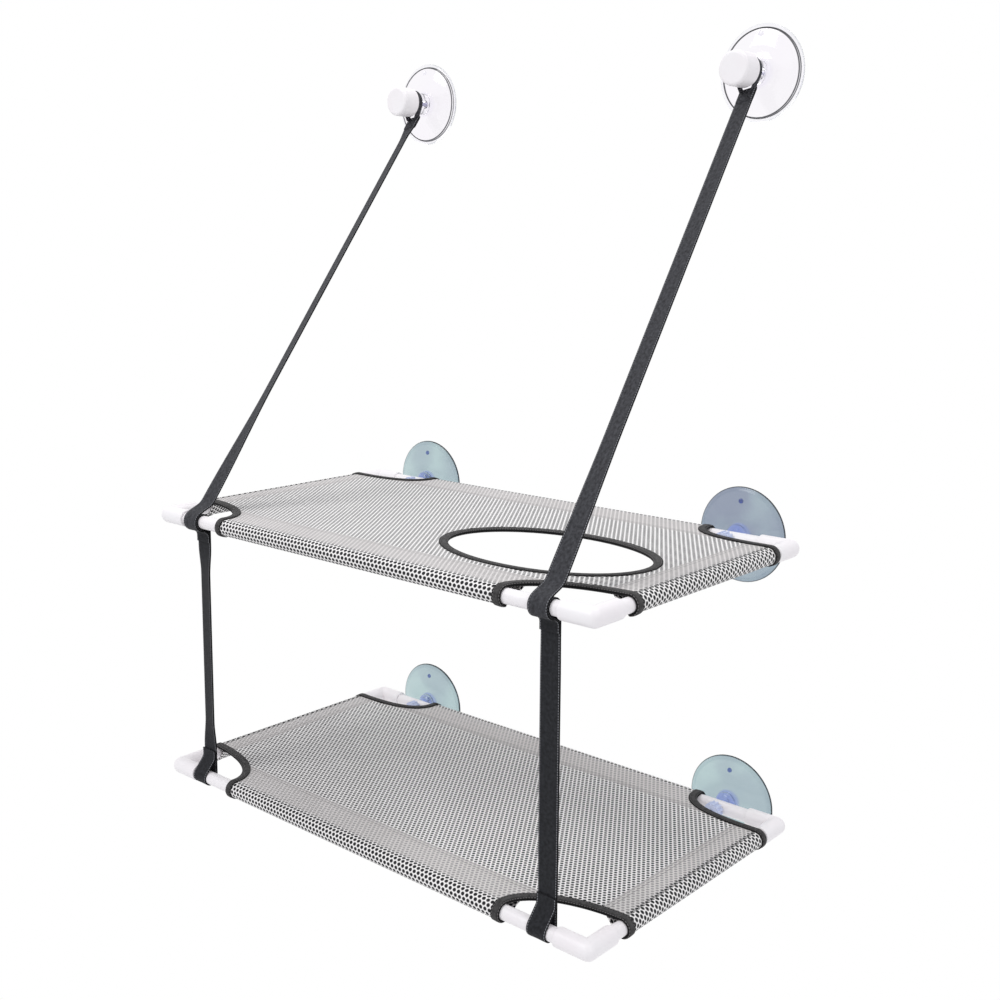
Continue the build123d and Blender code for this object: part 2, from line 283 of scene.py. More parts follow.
def maths(tree, operation, first, second=None, third=None, clamp=False):
    """Output of one Math node. Each operand is a number or another node's output."""
    node = add_node(tree, "ShaderNodeMath", operation=operation, use_clamp=clamp)
    for socket, operand in zip(node.inputs, (first, second, third)):
        if isinstance(operand, (int, float)):
            socket.default_value = operand
        elif operand is not None:
            tree.links.new(operand, socket)
    return node.outputs[0]


def mix_colours(tree, share, first, second, blend="MIX"):
    """Colour output that goes from the first colour to the second as the share goes from 0 to 1."""
    node = add_node(tree, "ShaderNodeMix", data_type="RGBA", blend_type=blend)
    for socket, operand in ((node.inputs[0], share), (node.inputs[6], first), (node.inputs[7], second)):
        if isinstance(operand, (int, float)):
            socket.default_value = operand
        elif isinstance(operand, tuple):
            socket.default_value = operand
        else:
            tree.links.new(operand, socket)
    return node.outputs[2]


# %% Floor, world and lamps
def pale_floor(name, height, reach):
    """Wide floor under the object."""
    mesh = bpy.data.meshes.new(name)
    corners = [(x * reach, y * reach, height) for x, y in ((-1, -1), (1, -1), (1, 1), (-1, 1))]
    mesh.from_pydata(corners, [], [(0, 1, 2, 3)])
    floor = bpy.data.objects.new(name, mesh)
    bpy.context.scene.collection.objects.link(floor)
    return floor


def white_to_the_eye(tree, shader_output, surface_input):
    """White where the camera, a reflection or a clear piece looks at it, and plain for other light."""
    path = add_node(tree, "ShaderNodeLightPath")
    seen = maths(tree, "MAXIMUM", path.outputs["Is Camera Ray"], path.outputs["Is Glossy Ray"])
    seen = maths(tree, "MAXIMUM", seen, path.outputs["Is Transmission Ray"])
    white = add_node(tree, "ShaderNodeEmission", {"Color": (1, 1, 1, 1), "Strength": 1.0})
    both = add_node(tree, "ShaderNodeMixShader")
    tree.links.new(seen, both.inputs[0])
    tree.links.new(shader_output, both.inputs[1])
    tree.links.new(white.outputs[0], both.inputs[2])
    tree.links.new(both.outputs[0], surface_input)


floor_level, floor_reach = -0.62, 14
floor_colour, floor_roughness = (0.9, 0.9, 0.9, 1), 0.9
world_colour, world_strength = (0.93, 0.96, 1, 1), 0.72

floor = pale_floor("floor", floor_level, floor_reach)
floor_material, floor_tree, floor_shader = new_material("pale_floor")
floor_shader.inputs["Base Color"].default_value = floor_colour
floor_shader.inputs["Roughness"].default_value = floor_roughness
floor_surface = floor_tree.nodes["Material Output"].inputs["Surface"]
white_to_the_eye(floor_tree, floor_shader.outputs[0], floor_surface)
floor.data.materials.append(floor_material)

world = bpy.data.worlds.new("studio")
world.use_nodes = True
bpy.context.scene.world = world
world_tree = world.node_tree
background = world_tree.nodes["Background"]
background.inputs["Color"].default_value = world_colour
background.inputs["Strength"].default_value = world_strength
world_surface = world_tree.nodes["World Output"].inputs["Surface"]
white_to_the_eye(world_tree, background.outputs[0], world_surface)


# %% Lamps
def soft_lamp(name, place, aim_at, size, power):
    """Square area lamp that shines from one place towards another."""
    data = bpy.data.lights.new(name, "AREA")
    data.shape = "SQUARE"
    data.size = size
    data.energy = power
    lamp = bpy.data.objects.new(name, data)
    towards = Vector(aim_at) - Vector(place)
    lamp.matrix_world = Matrix.Translation(place) @ towards.to_track_quat("-Z", "Y").to_matrix().to_4x4()
    bpy.context.scene.collection.objects.link(lamp)
    return lamp


lamp_aim = (0, -0.15, 0)
lamp_settings = {  # place, size in metres and power in watts
    "key": ((-0.9, -1.9, 1.9), 1.1, 21),
    "fill": ((2.0, -0.8, 0.9), 1.6, 6),
    "top": ((0.2, 0.4, 2.2), 1.4, 14),
}
for name, (place, size, power) in lamp_settings.items():
    soft_lamp(name, place, lamp_aim, size, power)
print("lamps:", list(lamp_settings))

# %% [markdown]
# ## A net that is drawn by its material
#
# The slings are a warp-knitted net: rows of small oval openings from side to side, each row half a step
# off its neighbour, with pale ribs of yarn between them. Modelling every opening would take
# tens of thousands of holes a sling. A material draws them instead, from the cloth's own flat map, as
# painted shade that lets a little light through, so the net follows the cloth round the tubes and
# through the hems without stretching.

# %% The net as a shader node group
def new_group(name, inputs, outputs):
    """Empty shader node group with named sockets, each given as (name, kind, default)."""
    group = bpy.data.node_groups.new(name, "ShaderNodeTree")
    for socket_name, kind, default in inputs:
        socket = group.interface.new_socket(socket_name, in_out="INPUT", socket_type=kind)
        if default is not None:
            socket.default_value = default
    for socket_name, kind in outputs:
        group.interface.new_socket(socket_name, in_out="OUTPUT", socket_type=kind)
    return group, group.nodes.new("NodeGroupInput"), group.nodes.new("NodeGroupOutput")


def smooth_step(tree, value, low, high):
    """0 below low, 1 above high and a smooth rise between them. Low may be above high for a fall."""
    node = add_node(tree, "ShaderNodeMapRange", {1: low, 2: high, 3: 0.0, 4: 1.0})
    node.interpolation_type = "SMOOTHSTEP"
    tree.links.new(value, node.inputs[0])
    return node.outputs[0]


def centred_fraction(tree, value):
    """What is left of a value after its whole steps, from -0.5 to 0.5."""
    return maths(tree, "SUBTRACT", maths(tree, "FRACT", value), 0.5)


opening_edge = (1.15, 0.85)  # distances from an opening's middle, in half openings
rib_inner_edge = (0.9, 1.3)
rib_outer_edge = (2.1, 1.5)
ground_height, rib_height, twist_height = 0.4, 0.5, 0.12  # shares of the bump
twists_per_step = 3


def build_net_group():
    """Openings at the middles of staggered cells; the distance is measured in half openings."""
    group, source, sink = new_group(
        "knitted_net",
        [
            ("Flat", "NodeSocketVector", None),
            ("Step", "NodeSocketFloat", 4.8 * MM),
            ("Row Pitch", "NodeSocketFloat", 3.5 * MM),
            ("Half Width", "NodeSocketFloat", 1.5 * MM),
            ("Half Length", "NodeSocketFloat", 1.3 * MM),
        ],
        [("Hole", "NodeSocketFloat"), ("Height", "NodeSocketFloat"), ("Rib", "NodeSocketFloat")],
    )
    split = add_node(group, "ShaderNodeSeparateXYZ")
    group.links.new(source.outputs["Flat"], split.inputs[0])
    row = maths(group, "DIVIDE", split.outputs[1], source.outputs["Row Pitch"])
    stagger = maths(group, "MULTIPLY", maths(group, "FLOOR", row), 0.5)
    column = maths(group, "DIVIDE", split.outputs[0], source.outputs["Step"])
    step = maths(group, "ADD", column, stagger)
    across = maths(group, "MULTIPLY", centred_fraction(group, step), source.outputs["Step"])
    along = maths(group, "MULTIPLY", centred_fraction(group, row), source.outputs["Row Pitch"])
    wide = maths(group, "DIVIDE", across, source.outputs["Half Width"])
    tall = maths(group, "DIVIDE", along, source.outputs["Half Length"])
    square = maths(group, "MULTIPLY_ADD", wide, wide, maths(group, "MULTIPLY", tall, tall))
    distance = maths(group, "SQRT", square)
    hole = smooth_step(group, distance, *opening_edge)
    # the rib is a pale ring of yarn round each opening, which sinks where ribs cross
    inner = smooth_step(group, distance, *rib_inner_edge)
    outer = smooth_step(group, distance, *rib_outer_edge)
    rib = maths(group, "MULTIPLY", inner, outer)
    turns = maths(group, "MULTIPLY", maths(group, "ADD", row, step), 2 * math.pi * twists_per_step)
    raised = maths(group, "MULTIPLY_ADD", rib, rib_height, ground_height)
    height = maths(group, "MULTIPLY_ADD", maths(group, "SINE", turns), twist_height, raised)
    height = maths(group, "MULTIPLY", height, maths(group, "SUBTRACT", 1.0, hole))
    for name, value in (("Hole", hole), ("Height", height), ("Rib", rib)):
        group.links.new(value, sink.inputs[name])
    return group


net_group = build_net_group()
print("net group:", [socket.name for socket in net_group.interface.items_tree])

# %% Mesh cloth material
line_softness = 0.3  # of a line's half width, to each side of its edge
seam_insets = (2.0 * MM, 5.5 * MM)  # of the two seams from the hem's edge
seam_half_width, seam_strength = 0.5 * MM, 0.5
hem_edge_half_width = 0.5 * MM
tube_edge = (1 * MM, 5 * MM)  # where the cloth leaves a tube, in from the tube's line
opening_halves = {  # over the tubes, where the cloth is tight, and elsewhere
    "Half Width": (1.75 * MM, 1.5 * MM),
    "Half Length": (1.45 * MM, 1.3 * MM),
}
see_through_share = 0.1
cloth_cloud_scale, cloth_cloud_edge = 11.0, (0.35, 0.65)
fuzz_scale, fuzz_height = 1300.0, 0.25
net_colours = {
    "pale ground": (0.82, 0.785, 0.77, 1),
    "deep ground": (0.62, 0.59, 0.575, 1),
    "rib": (0.98, 0.95, 0.935, 1),
    "rib in a hem": (0.74, 0.7, 0.685, 1),
    # painted shade: an opening is painted dark for the shade seen through it, and a shaded grey in a hem
    "opening": (0.01, 0.01, 0.012, 1),
    "opening in a hem": (0.36, 0.34, 0.335, 1),
    "seam": (0.2, 0.185, 0.185, 1),
}


def line_mask(tree, value, place, half):
    """1 within half a width of a place on a value, falling off softly."""
    distance = maths(tree, "ABSOLUTE", maths(tree, "SUBTRACT", value, place))
    return smooth_step(tree, distance, half * (1 + line_softness), half * (1 - line_softness))


def build_mesh_cloth():
    """Warm pale net whose openings are painted dark as shade; in the hems the ribs are darker and the
    openings are painted a shaded grey for the second layer of cloth under them.
    """
    material, tree, shader = new_material("mesh_cloth")
    flat = add_node(tree, "ShaderNodeUVMap", uv_map="flat")
    split = add_node(tree, "ShaderNodeSeparateXYZ")
    tree.links.new(flat.outputs[0], split.inputs[0])
    # distance in from the nearest tube line, from which the hems and their seams are drawn
    side_in = maths(tree, "SUBTRACT", half_width, maths(tree, "ABSOLUTE", split.outputs[0]))
    middle_y = (front_y + back_y) / 2
    off_middle = maths(tree, "ABSOLUTE", maths(tree, "SUBTRACT", split.outputs[1], middle_y))
    end_in = maths(tree, "SUBTRACT", (back_y - front_y) / 2, off_middle)
    seams, doubled = None, None
    for distance, hem in ((side_in, side_hem), (end_in, front_hem)):
        double = smooth_step(tree, distance, hem + hem_edge_half_width, hem - hem_edge_half_width)
        doubled = double if doubled is None else maths(tree, "MAXIMUM", doubled, double)
        for inset in seam_insets:
            seam = line_mask(tree, distance, hem - inset, seam_half_width)
            seams = seam if seams is None else maths(tree, "MAXIMUM", seams, seam)
    # in the hems the second layer lies close under the openings and is painted there as a shaded grey;
    # round the tubes the openings stay painted dark, as the shade between cloth and tube
    nearest = maths(tree, "MINIMUM", side_in, end_in)
    off_tube = smooth_step(tree, nearest, *tube_edge)
    dulled = maths(tree, "MULTIPLY", doubled, off_tube)
    # and there they gape, because the cloth is pulled tight
    net = add_node(tree, "ShaderNodeGroup")
    net.node_tree = net_group
    tree.links.new(flat.outputs[0], net.inputs["Flat"])
    for socket, (tight, slack) in opening_halves.items():
        half = maths(tree, "MULTIPLY_ADD", off_tube, slack - tight, tight)
        tree.links.new(half, net.inputs[socket])
    cloud = add_node(tree, "ShaderNodeTexNoise", {"Scale": cloth_cloud_scale, "Detail": 4.0})
    fuzz = add_node(tree, "ShaderNodeTexNoise", {"Scale": fuzz_scale, "Detail": 2.0})
    for texture in (cloud, fuzz):
        tree.links.new(flat.outputs[0], texture.inputs["Vector"])
    slow = smooth_step(tree, cloud.outputs[0], *cloth_cloud_edge)
    ground = mix_colours(tree, slow, net_colours["pale ground"], net_colours["deep ground"])
    rib = mix_colours(tree, dulled, net_colours["rib"], net_colours["rib in a hem"])
    yarn = mix_colours(tree, net.outputs["Rib"], ground, rib)
    # painted shade in the openings: near black, and a shaded grey in the hems
    depth = mix_colours(tree, dulled, net_colours["opening"], net_colours["opening in a hem"])
    cloth = mix_colours(tree, net.outputs["Hole"], yarn, depth)
    sewn = maths(tree, "MULTIPLY", seams, seam_strength)
    tree.links.new(mix_colours(tree, sewn, cloth, net_colours["seam"]), shader.inputs["Base Color"])
    clear = maths(tree, "MULTIPLY", maths(tree, "SUBTRACT", 1.0, doubled), see_through_share)
    see_through = maths(tree, "MULTIPLY", net.outputs["Hole"], clear)
    tree.links.new(maths(tree, "SUBTRACT", 1.0, see_through), shader.inputs["Alpha"])
    height = maths(tree, "MULTIPLY_ADD", fuzz.outputs[0], fuzz_height, net.outputs["Height"])
    bump = add_node(tree, "ShaderNodeBump", {"Strength": 0.7, "Distance": 0.6 * MM})
    tree.links.new(height, bump.inputs["Height"])
    tree.links.new(bump.outputs[0], shader.inputs["Normal"])
    shader.inputs["Roughness"].default_value = 0.8
    shader.inputs["Specular IOR Level"].default_value = 0.25
    shader.inputs["Sheen Weight"].default_value = 0.1
    return material


mesh_cloth = build_mesh_cloth()

# %% [markdown]
# ## The slings
#
# Each sling is one cut of net with a notch at every corner. Its edges go over the tubes, round them
# and back under, where they are sewn to the sheet as a hem. The sheet is worked out in columns: every
# column of points runs from the front edge to the back edge, and where it meets the oval hole it
# stops and goes on behind it. The columns crowd together where an edge turns steeply, so the curves
# stay smooth. The pull of the tubes leaves only a shallow sag.

# %% Shape of the sling
def cloth_height(x, y, level):
    """Height of the cloth's middle: the tube's top, less a sag that is nothing at the tubes.

    sag = full sag * 4 s (1 - s) * (1 - |x / half width|^4), with s running from front to back.
    """
    s = np.clip((y - front_y) / (back_y - front_y), 0, 1)
    t = np.clip(np.abs(x) / half_width, 0, 1)
    return level + sleeve_radius - cloth_sag * 4 * s * (1 - s) * (1 - t**4)


def notch_reach(x, edge_y):
    """How far a notch cuts in at column x from the front or back tube line.

    A quarter of a rounded oval: (across / width)^power + (reach / depth)^power = 1.
    """
    width, depth = notches[edge_y]
    power = notch_powers[edge_y]
    share = np.clip((half_width - np.abs(x)) / width, 0, 1)
    return depth * (1 - share**power) ** (1 / power)


def hole_reach(x):
    """Half of the oval hole's depth at column x."""
    return hole_radius_y * np.sqrt(np.clip(1 - ((x - hole_x) / hole_radius_x) ** 2, 0, 1))


notch_columns, hole_columns, plain_columns = 22, 73, 133
least_column_gap = 1.6 * MM  # between a plain column and one that an edge needs


def sling_columns(with_hole):
    """Places of the columns, crowded where the edge of a notch or of the hole turns steeply."""
    quarter = np.linspace(0, math.pi / 2, notch_columns)
    must = []
    for edge_y, (width, depth) in notches.items():
        edge = half_width - width * np.sin(quarter) ** (2 / notch_powers[edge_y])
        must += [edge, -edge]
    if with_hole:
        must.append(hole_x - hole_radius_x * np.cos(np.linspace(0, math.pi, hole_columns)))
    must = np.unique(np.round(np.concatenate(must), 7))
    plain = np.linspace(-half_width, half_width, plain_columns)
    near = np.abs(plain[:, None] - must[None]).min(axis=1)
    return np.sort(np.concatenate([must, plain[near > least_column_gap]]))


# %% Sleeves and grids of the sling
sleeve_lap = 9 * MM  # of the sleeve's end that lies flat under the sheet
lap_depth = 1.35 * MM  # from the sheet's middle down to the lap's
arc_steps, line_steps, lap_steps = 39, 8, 4
front_rows, back_rows = 30, 46  # of points in front of the hole's middle, and behind it
sling_seam_gap = 0.02 * MM


def sleeve_path(hem):
    """Section of a sleeve as (in over the sheet, up): from the tube's top, out, under and back in.

    A circle round the tube, a straight line that touches it, and a flat end sewn under the sheet.
    """
    target = np.array([hem - sleeve_lap, sleeve_radius - lap_depth])
    reach = float(np.hypot(*target))
    touch = math.atan2(target[1], target[0]) - math.acos(sleeve_radius / reach) + 2 * math.pi
    angle = np.linspace(math.pi / 2, touch, arc_steps + 1)
    arc = sleeve_radius * np.stack([np.cos(angle), np.sin(angle)], axis=-1)
    share = np.linspace(0, 1, line_steps + 1)[1:, None]
    line = arc[-1] + (target - arc[-1]) * share
    lap = np.linspace(target[0], hem, lap_steps + 1)[1:]
    return np.concatenate([arc, line, np.stack([lap, np.full_like(lap, target[1])], axis=-1)])


def sleeve_grid(tube_line, towards, hem, span, along_x, level):
    """Sleeve along one tube: its section, which sinks with the cloth above it as it runs inwards.

    inwards = tube line + direction * (in over the sheet); the sag is shared out from 0 at the tube
    to 1 at the lap. The flat map goes on outwards past the tube line, so the net isn't cut there.
    """
    path = sleeve_path(hem)
    along, reach = np.meshgrid(span, path[:, 0], indexing="ij")
    inward = tube_line + towards * reach
    outward_run = np.broadcast_to(tube_line - towards * run_along(path), along.shape)
    x, y = (along, inward) if along_x else (inward, along)
    drop = cloth_height(x, y, level) - (level + sleeve_radius)
    share = np.clip(reach / (hem - sleeve_lap), 0, 1)
    points = np.stack([x, y, level + path[:, 1] + drop * share], axis=-1)
    flat = np.stack([along, outward_run] if along_x else [outward_run, along], axis=-1)
    return {"points": points, "flat": flat, "flip": towards > 0}


def sling_grids(level, with_hole):
    """Sheet in front of and behind the hole, and the four sleeves, as grids that share their edges."""
    x = sling_columns(with_hole)
    middle = np.full_like(x, hole_y)
    gap = hole_reach(x) if with_hole else np.zeros_like(x)
    grids = []
    for start, end, rows in (
        (front_y + notch_reach(x, front_y), middle - gap, front_rows),
        (middle + gap, back_y - notch_reach(x, back_y), back_rows),
    ):
        y = start[:, None] + (end - start)[:, None] * np.linspace(0, 1, rows)
        xs = np.broadcast_to(x[:, None], y.shape)
        grids.append({"points": np.stack([xs, y, cloth_height(xs, y, level)], axis=-1)})
    for edge_y, towards in ((front_y, 1), (back_y, -1)):
        span = x[np.abs(x) <= half_width - notches[edge_y][0] + seam_gap]
        grids.append(sleeve_grid(edge_y, towards, front_hem, span, True, level))
    before_hole = np.linspace(front_y + notches[front_y][1], hole_y, front_rows)
    behind_hole = np.linspace(hole_y, back_y - notches[back_y][1], back_rows)
    span = np.unique(np.concatenate([before_hole, behind_hole]))
    for sign in sides.values():
        grids.append(sleeve_grid(sign * half_width, -sign, side_hem, span, False, level))
    return grids


# %% Make the slings
def give_thickness(piece, thickness):
    """Solidify modifier that grows both faces of a sheet from its middle."""
    solidify = piece.modifiers.new("thickness", "SOLIDIFY")
    solidify.thickness = thickness
    solidify.offset = 0


def surface_area(mesh):
    """Area of all the faces of a mesh."""
    areas = np.zeros(len(mesh.polygons), np.float32)
    mesh.polygons.foreach_get("area", areas)
    return float(areas.sum())


slings = {}
for tier, level in tier_levels.items():
    sling = make_piece(f"{tier}_mesh_sling", sling_grids(level, tier == "upper"), weld=sling_seam_gap)
    slings[tier] = sling, surface_area(sling.data)
    sling.data.materials.append(mesh_cloth)
    give_thickness(sling, cloth_thickness)
    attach(sling, f"{tier}_tier")
    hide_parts(f"{tier}_sling")
    print(tier, "sling:", len(sling.data.polygons), "faces,", round(slings[tier][1], 4), "m2 of net")

# %% [markdown]
# ## Bound edges
#
# Cut net frays, so tape is folded over every cut edge and sewn through. A tape is one profile, a U on
# its side, carried along the edge. At a corner it starts under one tube, goes round the end of the
# sleeve, follows the notch and goes round the next sleeve's end. Each point of the path needs to know
# which way the cloth lies and which way is up, and the profile is placed in those two directions.

# %% Tape profile
tape_width = 7.2
tape_top = [(6.9, 1.72), (6.3, 1.74), (5.7, 1.5), (5.1, 1.78), (3.0, 1.95), (1.0, 1.9), (0.0, 1.75)]
tape_edge_height = 1.45  # all of a tape's sizes are in mm
slit_half_height, slit_end, slit_nose = 0.72, 0.1, -0.25  # of the gap that the cloth fills
fold_middle, fold_reach, fold_rise = 0.1, 1.25, 1.6
fold_turn, fold_points = 65, 7  # degrees to each side of the fold
tube_squeeze = 0.62  # share of the inner layer that is lost where it lies on a tube


def tape_outside():
    """Outer run of the tape's section as (in over the cloth, up): top layer, fold and bottom layer.

    The dip near the tape's edge is its line of stitches, and the fold is part of an oval.
    """
    top = np.array([(tape_width, tape_edge_height)] + tape_top)
    turn = np.radians(np.linspace(fold_turn, -fold_turn, fold_points))
    fold = np.stack([fold_middle - fold_reach * np.cos(turn), fold_rise * np.sin(turn)], axis=-1)
    return np.concatenate([top, fold, top[::-1] * (1, -1)]) * MM


def tape_profile():
    """U on its side: the outer run and back along the inner run, which the cloth fills."""
    lower = [(tape_width, -slit_half_height), (slit_end, -slit_half_height)]
    upper = [(slit_end, slit_half_height), (tape_width, slit_half_height)]
    return np.concatenate([tape_outside(), np.array(lower + [(slit_nose, 0.0)] + upper) * MM])


def carried_tape(path, inward, up, tube_share):
    """Tape along a path. Where it goes round a tube, its inner layer is thin: tube_share is 1 there."""
    profile = np.broadcast_to(tape_profile(), (len(path), len(tape_profile()), 2)).copy()
    under = profile[..., 1] < 0
    profile[..., 1] *= np.where(under, 1 - tube_squeeze * tube_share[:, None], 1)
    return carried_profile(path, inward, up, profile)


# %% Paths of the tape
sleeve_turn_points, notch_points, hole_points = 28, 52, 160
tube_reach = 1.5 * MM  # from a tube's line, within which the tape lies on the tube
leaving_run = 3.5 * MM  # over which it lifts off the tube


def corner_path(sx, sy, level):
    """Edge of one corner: round the end tube's sleeve, along the notch, round the side tube's sleeve.

    Two half circles about the tubes and a quarter of a rounded oval about the crossing of the tube
    lines, whose inward direction is the oval's slope. Sides are given by the signs of X and Y.
    """
    edge_y = front_y if sy < 0 else back_y
    width, depth = notches[edge_y]
    power = notch_powers[edge_y]
    turn = np.linspace(-math.pi / 2, math.pi / 2, sleeve_turn_points)
    past, rise = sleeve_radius * np.cos(turn), sleeve_radius * np.sin(turn)
    end_x = sx * (half_width - width)
    first = np.stack([np.full_like(turn, end_x), edge_y + sy * past, level + rise], axis=-1)
    first_up = np.stack([0 * turn, sy * np.cos(turn), np.sin(turn)], axis=-1)
    first_in = np.broadcast_to([-sx, 0.0, 0.0], first.shape)
    angle = np.linspace(math.pi / 2, 0, notch_points)[1:-1]
    across, reach = np.sin(angle) ** (2 / power), np.cos(angle) ** (2 / power)
    x = sx * (half_width - width * across)
    y = edge_y - sy * depth * reach
    second = np.stack([x, y, cloth_height(x, y, level)], axis=-1)
    second_up = np.broadcast_to([0.0, 0.0, 1.0], second.shape)
    steep = power - 1
    slope_x, slope_y = -sx * across**steep / width, -sy * reach**steep / depth
    second_in = unit(np.stack([slope_x, slope_y, 0 * angle], axis=-1))
    side_y = edge_y - sy * depth
    back = turn[::-1]
    out = sx * (half_width + sleeve_radius * np.cos(back))
    third = np.stack([out, np.full_like(back, side_y), level + sleeve_radius * np.sin(back)], axis=-1)
    third_up = np.stack([sx * np.cos(back), 0 * back, np.sin(back)], axis=-1)
    third_in = np.broadcast_to([0.0, -sy, 0.0], third.shape)
    path = np.concatenate([first, second, third])
    off_tubes = np.minimum(np.abs(y - edge_y), half_width - np.abs(x))
    leaving = smooth_fall(off_tubes - tube_reach, leaving_run)
    tube_share = np.concatenate([np.ones(len(first)), leaving, np.ones(len(third))])
    up = np.concatenate([first_up, second_up, third_up])
    inward = np.concatenate([first_in, second_in, third_in])
    return path, inward, up, tube_share


def hole_path(level):
    """Edge of the oval hole, closed on itself."""
    angle = np.linspace(0, 2 * math.pi, hole_points, endpoint=False)
    x, y = hole_x + hole_radius_x * np.cos(angle), hole_y + hole_radius_y * np.sin(angle)
    path = np.stack([x, y, cloth_height(x, y, level)], axis=-1)
    slope = np.stack([np.cos(angle) / hole_radius_x, np.sin(angle) / hole_radius_y, 0 * angle], axis=-1)
    return path, unit(slope), np.broadcast_to([0.0, 0.0, 1.0], path.shape), np.zeros(len(path))


# %% [markdown]
# ## Woven tape and webbing
#
# Both are dark woven bands, and the middle of each face is painted lighter as a sheen, a painted
# highlight.
# The weave, the thread that runs along the edges and the slight shine are one effect at two scales, so
# they are one node group. Both take their pattern from the flat map: the first number runs along the
# band and the second round its section.

# %% The woven band as a shader node group
stitch_line_edge = (0.55 * MM, 0.25 * MM)  # distances from the line of thread
stitch_edge = (0.4, 0.28)  # distances from a stitch's middle, as shares of the stitch pitch


def build_weave_group():
    """Plain weave as two crossed waves, with a lighter thread stitched along two lines."""
    group, source, sink = new_group(
        "woven_band",
        [
            ("Flat", "NodeSocketVector", None),
            ("Yarn Pitch", "NodeSocketFloat", 0.9 * MM),
            ("Stitch Line", "NodeSocketFloat", 1.6 * MM),
            ("Band Width", "NodeSocketFloat", 20 * MM),
            ("Stitch Pitch", "NodeSocketFloat", 2.6 * MM),
        ],
        [("Weave", "NodeSocketFloat"), ("Stitch", "NodeSocketFloat"), ("Middle", "NodeSocketFloat")],
    )
    split = add_node(group, "ShaderNodeSeparateXYZ")
    group.links.new(source.outputs["Flat"], split.inputs[0])
    waves = []
    for axis in (0, 1):
        turns = maths(group, "DIVIDE", split.outputs[axis], source.outputs["Yarn Pitch"])
        waves.append(maths(group, "SINE", maths(group, "MULTIPLY", turns, 2 * math.pi)))
    weave = maths(group, "MULTIPLY_ADD", maths(group, "MULTIPLY", waves[0], waves[1]), 0.5, 0.5)
    # distance from the nearer edge of the band, the same on both faces
    half = maths(group, "MULTIPLY", source.outputs["Band Width"], 0.5)
    folded = maths(group, "PINGPONG", split.outputs[1], source.outputs["Band Width"])
    off_middle = maths(group, "ABSOLUTE", maths(group, "SUBTRACT", folded, half))
    inset = maths(group, "SUBTRACT", half, off_middle)
    off_line = maths(group, "ABSOLUTE", maths(group, "SUBTRACT", inset, source.outputs["Stitch Line"]))
    line = smooth_step(group, off_line, *stitch_line_edge)
    stitch = maths(group, "DIVIDE", split.outputs[0], source.outputs["Stitch Pitch"])
    dashed = smooth_step(group, maths(group, "ABSOLUTE", centred_fraction(group, stitch)), *stitch_edge)
    middle = maths(group, "DIVIDE", inset, half, clamp=True)
    group.links.new(weave, sink.inputs["Weave"])
    group.links.new(maths(group, "MULTIPLY", line, dashed), sink.inputs["Stitch"])
    group.links.new(middle, sink.inputs["Middle"])
    return group


weave_group = build_weave_group()
print("weave group:", [socket.name for socket in weave_group.interface.items_tree])

# %% Woven material
mottle_scale, mottle_gain, mottle_offset = 330.0, 1.8, -0.25
weave_darkening, stitch_cover, stitch_sink = 0.4, 0.8, 0.8


def woven_material(name, dark, light, thread, margin, pitch, stitch_line, width, stitch_pitch, sheen):
    """Dark woven band with a painted sheen: its middle is painted lighter, as a highlight, and a dotted
    line of thread runs along its edges.

    The margin is the share of the half width that stays dark, outside the painted sheen.
    """
    material, tree, shader = new_material(name)
    flat = add_node(tree, "ShaderNodeUVMap", uv_map="flat")
    weave = add_node(tree, "ShaderNodeGroup")
    weave.node_tree = weave_group
    weave.inputs["Yarn Pitch"].default_value = pitch
    weave.inputs["Stitch Line"].default_value = stitch_line
    weave.inputs["Band Width"].default_value = width
    weave.inputs["Stitch Pitch"].default_value = stitch_pitch
    tree.links.new(flat.outputs[0], weave.inputs["Flat"])
    mottle = add_node(tree, "ShaderNodeTexNoise", {"Scale": mottle_scale, "Detail": 3.0})
    tree.links.new(flat.outputs[0], mottle.inputs["Vector"])
    # painted sheen: the middle of each face is painted towards the light colour, a highlight
    middle = smooth_step(tree, weave.outputs["Middle"], 0.5 * margin, 1.5 * margin)
    mottled = maths(tree, "MULTIPLY_ADD", mottle.outputs[0], mottle_gain, mottle_offset)
    body = mix_colours(tree, maths(tree, "MULTIPLY", middle, mottled, clamp=True), dark, light)
    crossed = maths(tree, "MULTIPLY", weave.outputs["Weave"], weave_darkening)
    yarn = mix_colours(tree, crossed, body, dark)
    covered = maths(tree, "MULTIPLY", weave.outputs["Stitch"], stitch_cover)
    tree.links.new(mix_colours(tree, covered, yarn, thread), shader.inputs["Base Color"])
    sunk = maths(tree, "MULTIPLY", weave.outputs["Stitch"], stitch_sink)
    height = maths(tree, "SUBTRACT", weave.outputs["Weave"], sunk)
    bump = add_node(tree, "ShaderNodeBump", {"Strength": 0.5, "Distance": 0.25 * MM})
    tree.links.new(height, bump.inputs["Height"])
    tree.links.new(bump.outputs[0], shader.inputs["Normal"])
    shader.inputs["Roughness"].default_value = 0.72
    shader.inputs["Specular IOR Level"].default_value = 0.16
    shader.inputs["Sheen Weight"].default_value = sheen
    return material


tape_face = run_length(tape_outside()) / 2
binding_tape = woven_material(
    "binding_tape",
    dark=(0.002, 0.002, 0.0025, 1),
    # painted sheen: this light colour lights the tape's middle
    light=(0.1, 0.095, 0.095, 1),
    thread=(0.16, 0.15, 0.15, 1),
    margin=0.45,
    pitch=0.7 * MM,
    stitch_line=1.5 * MM,
    width=tape_face,
    stitch_pitch=2.4 * MM,
    sheen=0.03,
)

